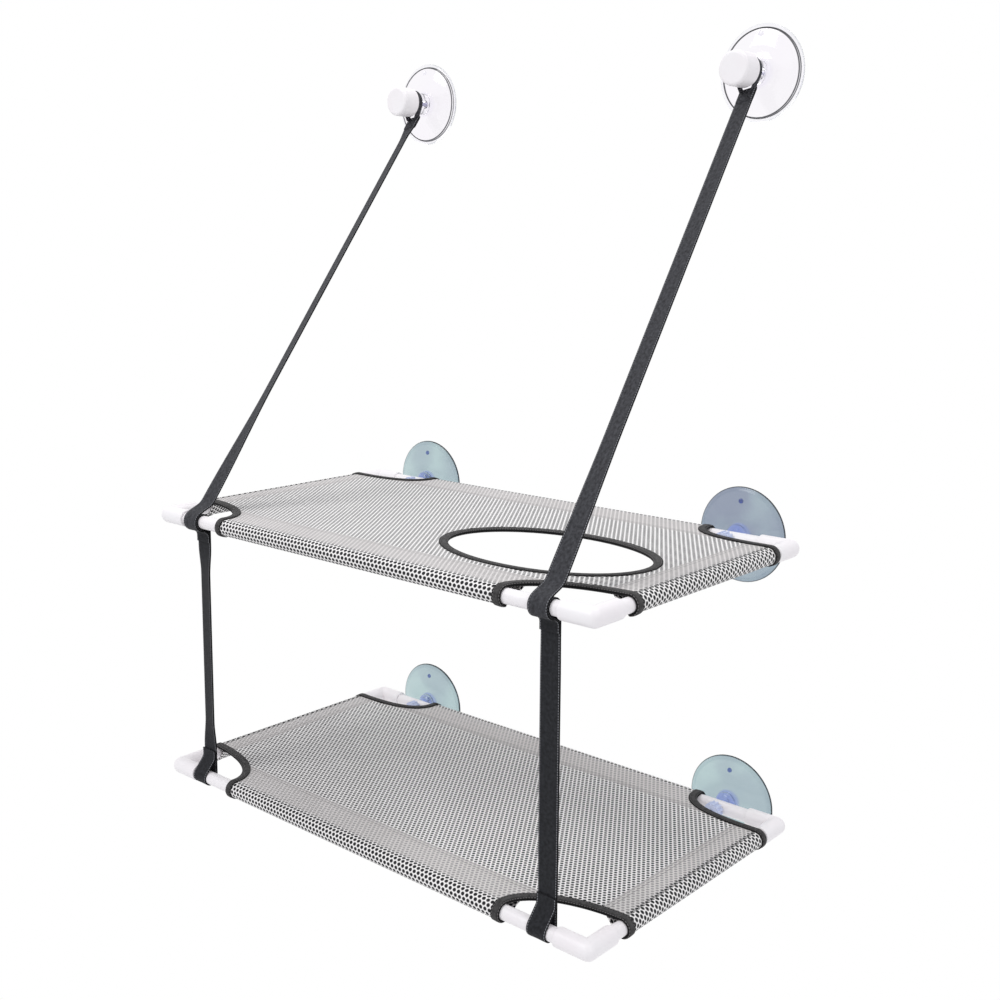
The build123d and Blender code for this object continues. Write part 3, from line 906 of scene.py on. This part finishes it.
# %% Bind the notches and the hole
for tier, level in tier_levels.items():
    grids = []
    for sx in (-1, 1):
        for sy in (-1, 1):
            grids += close_ends(carried_tape(*corner_path(sx, sy, level)))
    binding = make_piece(f"{tier}_corner_tape", grids)
    outward(binding.data)
    binding.data.materials.append(binding_tape)
    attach(binding, f"{tier}_tier")
    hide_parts(f"{tier}_corner_binding")
    if tier == "upper":
        grid = carried_tape(*hole_path(level))
        edge = grid["points"][:, 0]
        grid["close_rows"] = True
        grid["flat_period"] = (run_length(np.concatenate([edge, edge[:1]])), grid["flat_period"][1])
        hole_tape = make_piece("hole_tape", [grid])
        outward(hole_tape.data)
        hole_tape.data.materials.append(binding_tape)
        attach(hole_tape, "upper_tier")
        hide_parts("hole_binding")
    sling, net_area = slings[tier]

# %% [markdown]
# ## Webbing straps
#
# Flat polypropylene webbing, 20 mm wide. The drop strap is one length: it goes round the upper front
# tube, down behind it and round the lower one, and at both ends it comes back on itself and is sewn
# down. The hanger strap runs up to its cup, where it divides into a narrow band round the cup's neck.
# A strap is a section carried along a path; a path is a chain of straight runs and arcs.

# %% Band section and band path
webbing_width, webbing_thickness = 20 * MM, 1.6 * MM
selvedge_rise = 0.12 * MM  # of a band's edges over its middle
selvedge_start = 0.8  # as a share of the flat half width
edge_points, face_points = 4, 13


def band_section(width, thickness):
    """Section of a woven band as (across, out of its face): half-round edges and raised selvedges.

    It starts at the middle of one edge, so half of its run is one face of the band.
    """
    radius = thickness / 2
    flat = width / 2 - radius
    turn = np.linspace(0, math.pi / 2, edge_points)
    edge = np.stack([-flat - radius * np.cos(turn), radius * np.sin(turn)], axis=-1)
    across = np.linspace(-flat, flat, face_points)[1:-1]
    rise = radius - selvedge_rise * smooth_fall(np.abs(across) / flat, selvedge_start)
    face = np.stack([across, rise], axis=-1)
    half = np.concatenate([edge, face, edge[::-1] * (-1, 1)])
    return np.concatenate([half, half[::-1][1:-1] * (1, -1)])


def resampled(points, step):
    """Points at even steps along the line through the given points."""
    run = run_along(points)
    places = np.linspace(0, run[-1], max(int(run[-1] / step), 2) + 1)
    return np.stack([np.interp(places, run, axis_values) for axis_values in points.T], axis=-1)


def softened(points, half_window):
    """Line with its corners rounded: each point becomes the mean of the points near it."""
    steps = np.arange(-half_window, half_window + 1)
    weights = 1 - (steps / (half_window + 1)) ** 2
    weights /= weights.sum()
    before = 2 * points[:1] - points[half_window:0:-1]
    after = 2 * points[-1:] - points[-2 : -half_window - 2 : -1]
    padded = np.concatenate([before, points, after])
    return np.stack([np.convolve(padded[:, axis], weights, mode="valid") for axis in range(3)], axis=-1)


def band_frames(path):
    """Directions across a band, as near to X as its path lets, and out of its face."""
    along = unit(np.gradient(path, axis=0))
    across = unit(np.array([1.0, 0, 0]) - along * along[:, :1])
    return across, np.cross(along, across)


# %% Drop straps
tube_radius, tube_clearance = 6.5 * MM, 0.15 * MM
loop_circle = tube_radius + webbing_thickness / 2 + tube_clearance  # of the webbing's middle
loop_lap = 9 * MM  # sewn down on the strap itself
loop_gap = 1.06 * webbing_thickness  # between the middles of the lap and of the strap
upper_fall, lower_fall = 13 * MM, 18 * MM  # from a tube's middle to where the loop closes
loop_points = 40
drop_path_step, drop_softening = 0.8 * MM, 4
turn_run = 30 * MM  # over which the strap turns at each end
turn_below, turn_above = 26 * MM, 30 * MM  # from the tubes' levels to where it starts to turn


def loop_round_tube(fall):
    """Loop as (y, z) from a tube's middle, from the end of its lap over the tube to its back.

    A straight lap, a line that touches the circle on the room side, and an arc over to the window side.
    """
    meet = np.array([loop_circle - loop_gap, -fall])
    reach = float(np.hypot(*meet))
    touch = math.atan2(meet[1], meet[0]) - math.acos(loop_circle / reach)
    angle = np.linspace(touch + 2 * math.pi, 0, loop_points)
    arc = loop_circle * np.stack([np.cos(angle), np.sin(angle)], axis=-1)
    return np.concatenate([[(meet[0], meet[1] - loop_lap)], [meet], arc])


def on_strap(section_points, x, level):
    """(y, z) points placed in the plane of a strap, about a front tube."""
    y, z = section_points.T
    return np.stack([np.full_like(y, x), front_y + y, level + z], axis=-1)


drop_turns = {"left": math.radians(-12), "right": math.radians(2)}
foot_shifts = {"left": -6 * MM, "right": 0.0}  # along the lower tube, from below the upper loop
webbing_face = run_length(band_section(webbing_width, webbing_thickness)) / 2
# painted sheen in lit and shaded copies of one webbing: the hanger straps lean towards the lamps, so
# their middles are painted lighter than the drop straps'
webbing_painted_sheens = {"drop": (0.03, 0.031, 0.036, 1), "hanger": (0.078, 0.078, 0.088, 1)}
webbings = {}
for use, light in webbing_painted_sheens.items():
    webbings[use] = woven_material(
        f"webbing_{use}",
        dark=(0.003, 0.003, 0.004, 1),
        light=light,
        thread=(0.24, 0.24, 0.26, 1),
        margin=0.2,
        pitch=1.1 * MM,
        stitch_line=1.5 * MM,
        width=webbing_face,
        stitch_pitch=2.2 * MM,
        sheen=0.03,
    )


def turned_frames(across, out, turn):
    """Frames of a band turned about its own line by an angle at each point."""
    c, s = np.cos(turn)[:, None], np.sin(turn)[:, None]
    return across * c + out * s, out * c - across * s


def build_drop_strap(side, x):
    """One length of webbing with a loop round the upper front tube and a loop round the lower one.

    The lower loop may sit a little to one side. The free run hangs a little turned: turn = -full turn
    * rise below the upper loop * rise above the lower one, where each rise is smooth.
    """
    upper, lower = tier_levels["upper"], tier_levels["lower"]
    top = on_strap(loop_round_tube(upper_fall), x, upper)
    foot = on_strap(loop_round_tube(lower_fall)[::-1] * (1, -1), x + foot_shifts[side], lower)
    path = softened(resampled(np.concatenate([top, foot]), drop_path_step), drop_softening)
    below = upper - turn_below - path[:, 2]
    above = path[:, 2] - lower - turn_above
    rise = (1 - smooth_fall(below, turn_run)) * (1 - smooth_fall(above, turn_run))
    frames = turned_frames(*band_frames(path), -drop_turns[side] * rise)
    grid = carried_profile(path, *frames, band_section(webbing_width, webbing_thickness))
    strap = make_piece(f"drop_webbing_{side}", close_ends(grid))
    outward(strap.data)
    return strap


for side, sign in sides.items():
    drop = build_drop_strap(side, sign * strap_x)
    drop.data.materials.append(webbings["drop"])
    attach(drop, "drop_straps")
    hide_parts(f"drop_strap_{side}")
print("drop straps:", len(drop.data.polygons), "faces each")

# %% Neck band and sewn block of a hanger strap
neck_depth = -25 * MM  # where the strap's head lies along Y
neck_fall = 20 * MM  # from a cup's middle down to the strap's head
neck_circle = 12.2 * MM
neck_band_width, neck_band_depth = 7 * MM, -25.3 * MM
neck_band_spread = 5 * MM  # from the strap's middle to each end of the band in the sewn block
neck_band_lift = 1.5 * MM  # of those ends above the strap's head
neck_points, neck_step = 60, 0.8 * MM
block_half_size = (9.6 * MM, 7.5 * MM)
block_half_thickness = 2.0 * MM
block_drop = 1.5 * MM  # from the strap's head down to the block's middle
block_stitch_place, block_stitch_depth = 0.74, 0.4 * MM
square_stitch_width, cross_stitch_width = 0.06, 0.08
block_columns, block_rows = 49, 37
head_points = 20  # of the strap's path, along which the block leans


def neck_band(x, z):
    """Path round a cup's neck: an arc over the neck and two lines that touch it, down to the block."""
    foot = np.array([neck_band_spread, neck_band_lift - neck_fall])
    touch = math.atan2(foot[1], foot[0]) + math.acos(neck_circle / float(np.hypot(*foot)))
    angle = np.linspace(touch, math.pi - touch, neck_points)
    arc = neck_circle * np.stack([np.cos(angle), np.sin(angle)], axis=-1)
    across, rise = resampled(np.concatenate([[foot], arc, [foot * (-1, 1)]]), neck_step).T
    return np.stack([x + across, np.full_like(across, neck_band_depth), z + rise], axis=-1)


def sewn_block(x, z, lean, turn):
    """Folded end of the strap, pressed by its stitches: a soft slab that leans with the strap.

    half thickness = full half thickness * ((1 - u^6)(1 - v^6))^0.35, pressed along a square and a
    cross of thread, each a bell curve across its line.
    """
    u, v = np.meshgrid(np.linspace(-1, 1, block_columns), np.linspace(-1, 1, block_rows), indexing="ij")
    puff = block_half_thickness * np.clip((1 - u**6) * (1 - v**6), 0, 1) ** 0.35
    off_middle = np.maximum(np.abs(u), np.abs(v))
    square = np.exp(-(((off_middle - block_stitch_place) / square_stitch_width) ** 2))
    cross = np.exp(-(((np.abs(u) - np.abs(v)) / cross_stitch_width) ** 2))
    press = block_stitch_depth * np.maximum(square, cross * (off_middle < block_stitch_place))
    flat_across, flat_out = np.array([1.0, 0, 0]), np.cross(lean, [1.0, 0, 0])
    across = flat_across * math.cos(turn) + flat_out * math.sin(turn)
    out = flat_out * math.cos(turn) - flat_across * math.sin(turn)
    middle = np.array([x, neck_depth, z - neck_fall]) - lean * block_drop
    flat = np.stack([u, v], axis=-1) * block_half_size
    flat_map = flat[..., ::-1] + (0, webbing_face / 2)
    grids = []
    for face in (1, -1):
        height = face * np.maximum(puff - press * (puff > block_half_thickness / 2), 0)
        points = middle + flat[..., :1] * across + flat[..., 1:] * lean + height[..., None] * out
        grids.append({"points": points, "flat": flat_map, "flip": face < 0})
    return grids


# %% Hanger straps
wrap_reach, wrap_radius = 19 * MM, 9.65 * MM  # from the tube's middle to the bend, and round the tube
wrap_points = 30
hanger_path_step, hanger_softening = 1 * MM, 5
twists = {"left": math.radians(22), "right": math.radians(14)}
head_shares = {"left": 0.5, "right": 1.0}  # of the twist, left at the sewn block
twist_start, twist_full, head_start = 0.08, 0.35, 0.95  # as shares of the strap's length


def hanger_path(x, top):
    """Wrap under and over the tube on the room side, then straight up in line with the tube's axis."""
    axis = np.array([x, front_y, 0])
    lean = unit((top - axis) * (0, 1, 1))
    bend = axis + lean * wrap_reach
    first = math.atan2(lean[2], lean[1]) + math.acos(wrap_radius / wrap_reach)
    angle = np.linspace(1.5 * math.pi, first, wrap_points)
    wrap = axis + wrap_radius * np.stack([0 * angle, np.cos(angle), np.sin(angle)], axis=-1)
    return softened(resampled(np.concatenate([wrap, [bend, top]]), hanger_path_step), hanger_softening)


def hanger_turn(path, twist, head_share):
    """Turn along the strap: none at the foot, a smooth rise to full, and a share of it at the head."""
    share = np.linspace(0, 1, len(path))
    head = head_share + (1 - head_share) * smooth_fall(share - head_start, 1 - head_start)
    return -twist * smooth_fall(twist_full - share, twist_full - twist_start) * head


def build_hanger_strap(side, sign):
    """Webbing from its wrap on the tube up to the sewn block, and the band round the cup's neck."""
    top_x = sign * abs(hanger_x)
    top = np.array([top_x, neck_depth, hanger_z - neck_fall])
    path = hanger_path(sign * strap_x, top)
    turn = hanger_turn(path, twists[side], head_shares[side])
    frames = turned_frames(*band_frames(path), turn)
    grid = carried_profile(path, *frames, band_section(webbing_width, webbing_thickness))
    neck = neck_band(top_x, hanger_z)
    out = np.broadcast_to([0.0, -1.0, 0.0], neck.shape)
    side_on = np.cross(unit(np.gradient(neck, axis=0)), out)
    band = carried_profile(neck, out, side_on, band_section(neck_band_width, webbing_thickness))
    block = sewn_block(top_x, hanger_z, unit(path[-1] - path[-head_points]), turn[-1])
    strap = make_piece(f"hanger_webbing_{side}", close_ends(grid) + close_ends(band) + block)
    outward(strap.data)
    return strap


for side, sign in sides.items():
    hanger = build_hanger_strap(side, sign)
    hanger.data.materials.append(webbings["hanger"])
    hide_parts(f"hanger_strap_{side}")
    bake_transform(hanger)
print("hanger straps:", len(hanger.data.polygons), "faces each")

# %% [markdown]
# ## Suction cups
#
# A cup is a turned shape in soft clear plastic: a flat lip that seals, a thin dome that springs, a
# small tab to peel it off by, and a thick boss that holds the stud. The hanger cups are clear and the
# tier cups are tinted. The section is drawn as (radius, depth) and turned about the stud's axis.

# %% Turned pieces
turned_points = 96
turn_scale = 40 * MM  # length on the flat map for one radian of turn
rounding_points = 5
short_side_share = 0.45  # of a side that is too short for the rounding radius
turn_period = (2 * math.pi * turn_scale, 0)
rim_ring = 50 * MM  # ring number at a cup's rim


def turned(section, x, z):
    """Closed surface from a section of (radius, depth into the room) turned about an axis along Y.

    The flat map holds the angle as a length and a ring number, which falls inwards from the rim with
    the radius, so that a material can follow the rings of a cup of any size.
    """
    around = np.linspace(0, 2 * math.pi, turned_points, endpoint=False)
    angle, radius = np.meshgrid(around, section[:, 0], indexing="ij")
    y = np.broadcast_to(-section[:, 1], radius.shape)
    points = np.stack([x + np.cos(angle) * radius, y, z + np.sin(angle) * radius], axis=-1)
    flat = np.stack([angle * turn_scale, radius + rim_ring - radius.max()], axis=-1)
    return {"points": points, "flat": flat, "close_rows": True, "flat_period": turn_period}


def bulged_arc(start, end, bulge, count):
    """Points on a shallow arc between two points, raised by the bulge at its middle."""
    t = np.linspace(0, 1, count)[:, None]
    start, end = np.array(start), np.array(end)
    chord = unit(end - start)
    normal = np.array([-chord[1], chord[0]])
    return start + (end - start) * t + normal * bulge * 4 * t * (1 - t)


def rounded(corners, radius):
    """Section line with each inner corner rounded by a curve that touches both of its sides.

    The curve starts at the radius from the corner, or where a side is short, just before its middle:
    point = (1 - t)^2 * start + 2 t (1 - t) * corner + t^2 * end.
    """
    corners = np.array(corners, float)
    points = [corners[:1]]
    for before, corner, after in zip(corners[:-2], corners[1:-1], corners[2:]):
        shorter = min(np.linalg.norm(before - corner), np.linalg.norm(after - corner))
        reach = min(radius, short_side_share * shorter)
        start, end = corner + unit(before - corner) * reach, corner + unit(after - corner) * reach
        t = np.linspace(0, 1, rounding_points)[:, None]
        points.append((1 - t) ** 2 * start + 2 * t * (1 - t) * corner + t**2 * end)
    return np.concatenate(points + [corners[-1:]])


# %% Section of a cup
stud_hole_bottom, stud_hole_radius = 7.0, 2.65  # all of a section's sizes are in mm
neck_foot = (11.0, 8.9)
dome_start, dome_end_inset, dome_end_depth = (12.2, 8.0), 1.6, 2.1
dome_bulge, dome_points = 1.8, 26
welt_inset, welt_width, welt_height = 4.4, 0.7, 0.35
bead_from_rim = [(-0.6, 1.75), (0.0, 1.1), (0.0, 0.5), (-0.5, 0.1)]
lip_width, lip_depth, cavity_depth = 3.4, 0.15, 4.5
cavity_bulge, cavity_points = 1.2, 20
corner_radius = 0.9
tab_radius, tab_foot, tab_rise, tab_height = 2.4 * MM, 5.4 * MM, 1.9 * MM, 33 * MM
tab_arch_power = 0.6  # below 1 the arch is fuller than a round one
tab_turn_points, tab_ring_points = 32, 9
tab_ring = -10 * MM  # added to a tab's ring numbers, so that they are all below zero


def cup_section(boss, radius):
    """Half of a cup's section, from the bottom of the stud's hole out to the lip and back underneath.

    The dome and the cavity are shallow arcs, and a thin welt runs round the dome inside the lip.
    """
    dome = bulged_arc(dome_start, (radius - dome_end_inset, dome_end_depth), dome_bulge, dome_points)
    dome[:, 1] += welt_height * np.exp(-(((dome[:, 0] - radius + welt_inset) / welt_width) ** 2))
    bead = np.array(bead_from_rim) + (radius, 0)
    lip = (radius - lip_width, lip_depth)
    cavity = bulged_arc(lip, (0.0, cavity_depth), cavity_bulge, cavity_points)
    stud_hole = [(0.0, stud_hole_bottom), (stud_hole_radius, stud_hole_bottom)]
    upper = rounded(stud_hole + boss + [neck_foot, tuple(dome[0])], corner_radius)
    return np.concatenate([upper, dome[1:], bead, cavity]) * MM


def cup_tab(x, z):
    """Round tab on the dome above the boss, with a soft edge: a quarter turn of share gives its arch."""
    around = np.linspace(0, 2 * math.pi, tab_turn_points, endpoint=False)
    turn, share = np.meshgrid(around, np.linspace(0, 1, tab_ring_points), indexing="ij")
    radius = tab_radius * np.sin(share * math.pi / 2)
    rise = tab_foot + tab_rise * np.cos(share * math.pi / 2) ** tab_arch_power
    middle_z = z + tab_height
    points = np.stack([x + radius * np.cos(turn), -rise, middle_z + radius * np.sin(turn)], axis=-1)
    flat = np.stack([turn * turn_scale, radius + tab_ring], axis=-1)
    return {"points": points, "flat": flat, "close_rows": True, "flat_period": turn_period}


# %% Clear and tinted plastic
cloud_spots, fine_spots = 17.0, 90.0  # noise scales, in spots a metre
cloud_edge = (0.38, 0.62)
toward_upper_right_edge = (0.05, 0.15)
cloud_drift, toward_upper_right_drift = 0.4, 0.6  # shares of the drift in colour
boss_fade = 3.5 * MM
boss_spot_gain, boss_spot_offset = 0.8, 0.5
# painted shade: the thin line inside the lip and the edge at the rim stand in for dark that the rim
# refracts
lip_edge, rim_edge = (46.2 * MM, 46.8 * MM), (48.9 * MM, 49.5 * MM)  # ring numbers
line_place, line_half_width = 46.0 * MM, 0.6 * MM


def build_cup_material(name, dome, drift, boss, line, lip, edge, tab, boss_ring, roughness):
    """Soft clear plastic. The ring number tints it: deep at the boss, with a thin line inside the lip
    and a dark edge at the rim, both painted shade that stands in for dark surroundings refracted by the
    rim.

    The line, the lip and the edge are given as shares of the dome's colour.
    """
    material, tree, shader = new_material(name)
    flat = add_node(tree, "ShaderNodeUVMap", uv_map="flat")
    split = add_node(tree, "ShaderNodeSeparateXYZ")
    tree.links.new(flat.outputs[0], split.inputs[0])
    ring = split.outputs[1]
    place = add_node(tree, "ShaderNodeTexCoord").outputs["Object"]
    cloud = add_node(tree, "ShaderNodeTexNoise", {"Scale": cloud_spots, "Detail": 3.0})
    fine = add_node(tree, "ShaderNodeTexNoise", {"Scale": fine_spots, "Detail": 3.0})
    for texture in (cloud, fine):
        tree.links.new(place, texture.inputs["Vector"])
    # towards the upper right the cups are deeper in colour
    whole = add_node(tree, "ShaderNodeSeparateXYZ")
    tree.links.new(place, whole.inputs[0])
    toward_upper_right = smooth_step(tree, maths(tree, "ADD", whole.outputs[0], whole.outputs[2]), *toward_upper_right_edge)
    toward_upper_right_share = maths(tree, "MULTIPLY", toward_upper_right, toward_upper_right_drift)
    clouded = smooth_step(tree, cloud.outputs[0], *cloud_edge)
    drifting = maths(tree, "MULTIPLY_ADD", clouded, cloud_drift, toward_upper_right_share)
    tint = mix_colours(tree, drifting, dome, drift)
    near_boss = smooth_step(tree, ring, boss_ring + boss_fade, boss_ring)
    uneven = maths(tree, "MULTIPLY_ADD", fine.outputs[0], boss_spot_gain, boss_spot_offset)
    tint = mix_colours(tree, maths(tree, "MULTIPLY", near_boss, uneven, clamp=True), tint, boss)
    # the line and the edge are painted shade for the dark that the rim refracts
    for mask, shade in (
        (smooth_step(tree, ring, *lip_edge), lip),
        (line_mask(tree, ring, line_place, line_half_width), line),
        (smooth_step(tree, ring, *rim_edge), edge),
    ):
        tint = mix_colours(tree, mask, tint, shade, blend="MULTIPLY")
    # only the tab has ring numbers below zero
    tint = mix_colours(tree, smooth_step(tree, ring, 0.0, -1 * MM), tint, tab)
    tree.links.new(tint, shader.inputs["Base Color"])
    bump = add_node(tree, "ShaderNodeBump", {"Strength": 0.15, "Distance": 0.5 * MM})
    tree.links.new(fine.outputs[0], bump.inputs["Height"])
    tree.links.new(bump.outputs[0], shader.inputs["Normal"])
    shader.inputs["Transmission Weight"].default_value = 1.0
    shader.inputs["Roughness"].default_value = roughness
    shader.inputs["IOR"].default_value = 1.38
    return material


clear_cup = build_cup_material(
    "clear_cup",
    dome=(0.97, 0.965, 0.98, 1),
    drift=(0.955, 0.93, 0.975, 1),
    boss=(0.9, 0.87, 0.95, 1),
    # painted shade: a near-black line inside the lip
    line=(0.015, 0.016, 0.018, 1),
    lip=(0.99, 1.0, 1.0, 1),
    edge=(0.96, 0.99, 0.99, 1),
    tab=(0.84, 0.84, 0.9, 1),
    boss_ring=19 * MM,
    roughness=0.08,
)
blue_cup = build_cup_material(
    "blue_cup",
    dome=(0.5, 0.635, 0.65, 1),
    drift=(0.3, 0.345, 0.44, 1),
    boss=(0.23, 0.3, 0.62, 1),
    line=(0.88, 0.9, 0.92, 1),
    lip=(0.92, 0.93, 0.94, 1),
    # painted shade: a dark edge at the rim
    edge=(0.04, 0.05, 0.06, 1),
    tab=(0.08, 0.11, 0.42, 1),
    boss_ring=13.5 * MM,
    roughness=0.18,
)

# %% Make the cups
tier_cup_radius, hanger_cup_radius = 46.0, 42.0  # in mm, as the sections are
tier_boss = [(stud_hole_radius, 15.2), (7.5, 15.2), (11.0, 12.0)]
hanger_boss = [(stud_hole_radius, 29.0), (10.0, 29.0), (11.0, 28.0)]
cup_plastics = {"clear_cup": clear_cup, "blue_cup": blue_cup}
cup_kinds = [("hanger", hanger_z, hanger_boss, hanger_cup_radius, "clear_cup")]
for tier, level in tier_levels.items():
    cup_kinds.append((tier, level, tier_boss, tier_cup_radius, "blue_cup"))
for place, z, boss, radius, slot in cup_kinds:
    section = cup_section(boss, radius)
    for side, sign in sides.items():
        x = sign * abs(hanger_x)
        cup = make_piece(f"{place}_soft_cup_{side}", [turned(section, x, z), cup_tab(x, z)])
        outward(cup.data)
        cup.data.materials.append(cup_plastics[slot])
        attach(cup, "window_side")
        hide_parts(f"{place}_cup_{side}")
print("cups:", len(cup.data.polygons), "faces each")

# %% [markdown]
# ## Moulded plastic
#
# Tubes, elbows, studs, nuts and knobs keep their imported shape. White plastic is never one flat colour:
# it drifts a little warmer from place to place, it carries a fine grain from the mould and it scuffs.

# %% Plastic materials on the imported pieces
drift_scale, wear_scale, grain_scale = 22.0, 140.0, 2600.0
wear_gain, wear_offset = 0.25, -0.12  # of the wear noise, added to the roughness


def build_plastic(name, base, shade, roughness):
    """Moulded plastic: slow colour drift, fine grain in the surface and patches of wear in the gloss."""
    material, tree, shader = new_material(name)
    place = add_node(tree, "ShaderNodeTexCoord").outputs["Object"]
    drift = add_node(tree, "ShaderNodeTexNoise", {"Scale": drift_scale, "Detail": 2.0})
    wear = add_node(tree, "ShaderNodeTexNoise", {"Scale": wear_scale, "Detail": 5.0})
    grain = add_node(tree, "ShaderNodeTexNoise", {"Scale": grain_scale, "Detail": 1.0})
    for texture in (drift, wear, grain):
        tree.links.new(place, texture.inputs["Vector"])
    colour = mix_colours(tree, drift.outputs[0], base, shade)
    tree.links.new(colour, shader.inputs["Base Color"])
    gloss = maths(tree, "MULTIPLY_ADD", wear.outputs[0], wear_gain, roughness + wear_offset)
    tree.links.new(gloss, shader.inputs["Roughness"])
    bump = add_node(tree, "ShaderNodeBump", {"Strength": 0.2, "Distance": 0.1 * MM})
    tree.links.new(grain.outputs[0], bump.inputs["Height"])
    tree.links.new(bump.outputs[0], shader.inputs["Normal"])
    shader.inputs["IOR"].default_value = 1.46
    return material


plastic_looks = {  # base colour, colour where it is warmer, and roughness
    "white_plastic": ((0.92, 0.905, 0.91, 1), (0.9, 0.83, 0.85, 1), 0.36),
    "stud_plastic": ((0.72, 0.74, 0.86, 1), (0.6, 0.64, 0.84, 1), 0.3),
    "nut_plastic": ((0.64, 0.7, 0.86, 1), (0.56, 0.6, 0.82, 1), 0.32),
}
plastics = {name: build_plastic(name, *look) for name, look in plastic_looks.items()}
node_slots = {part["node"]: part["material_slot"] for part in frame["record"]["subparts"]}
for name, node in frame["nodes"].items():
    if node_slots[name] in plastics:
        node.material_slots[0].material = plastics[node_slots[name]]
print("packed pieces by finish:", {slot: list(node_slots.values()).count(slot) for slot in plastics})
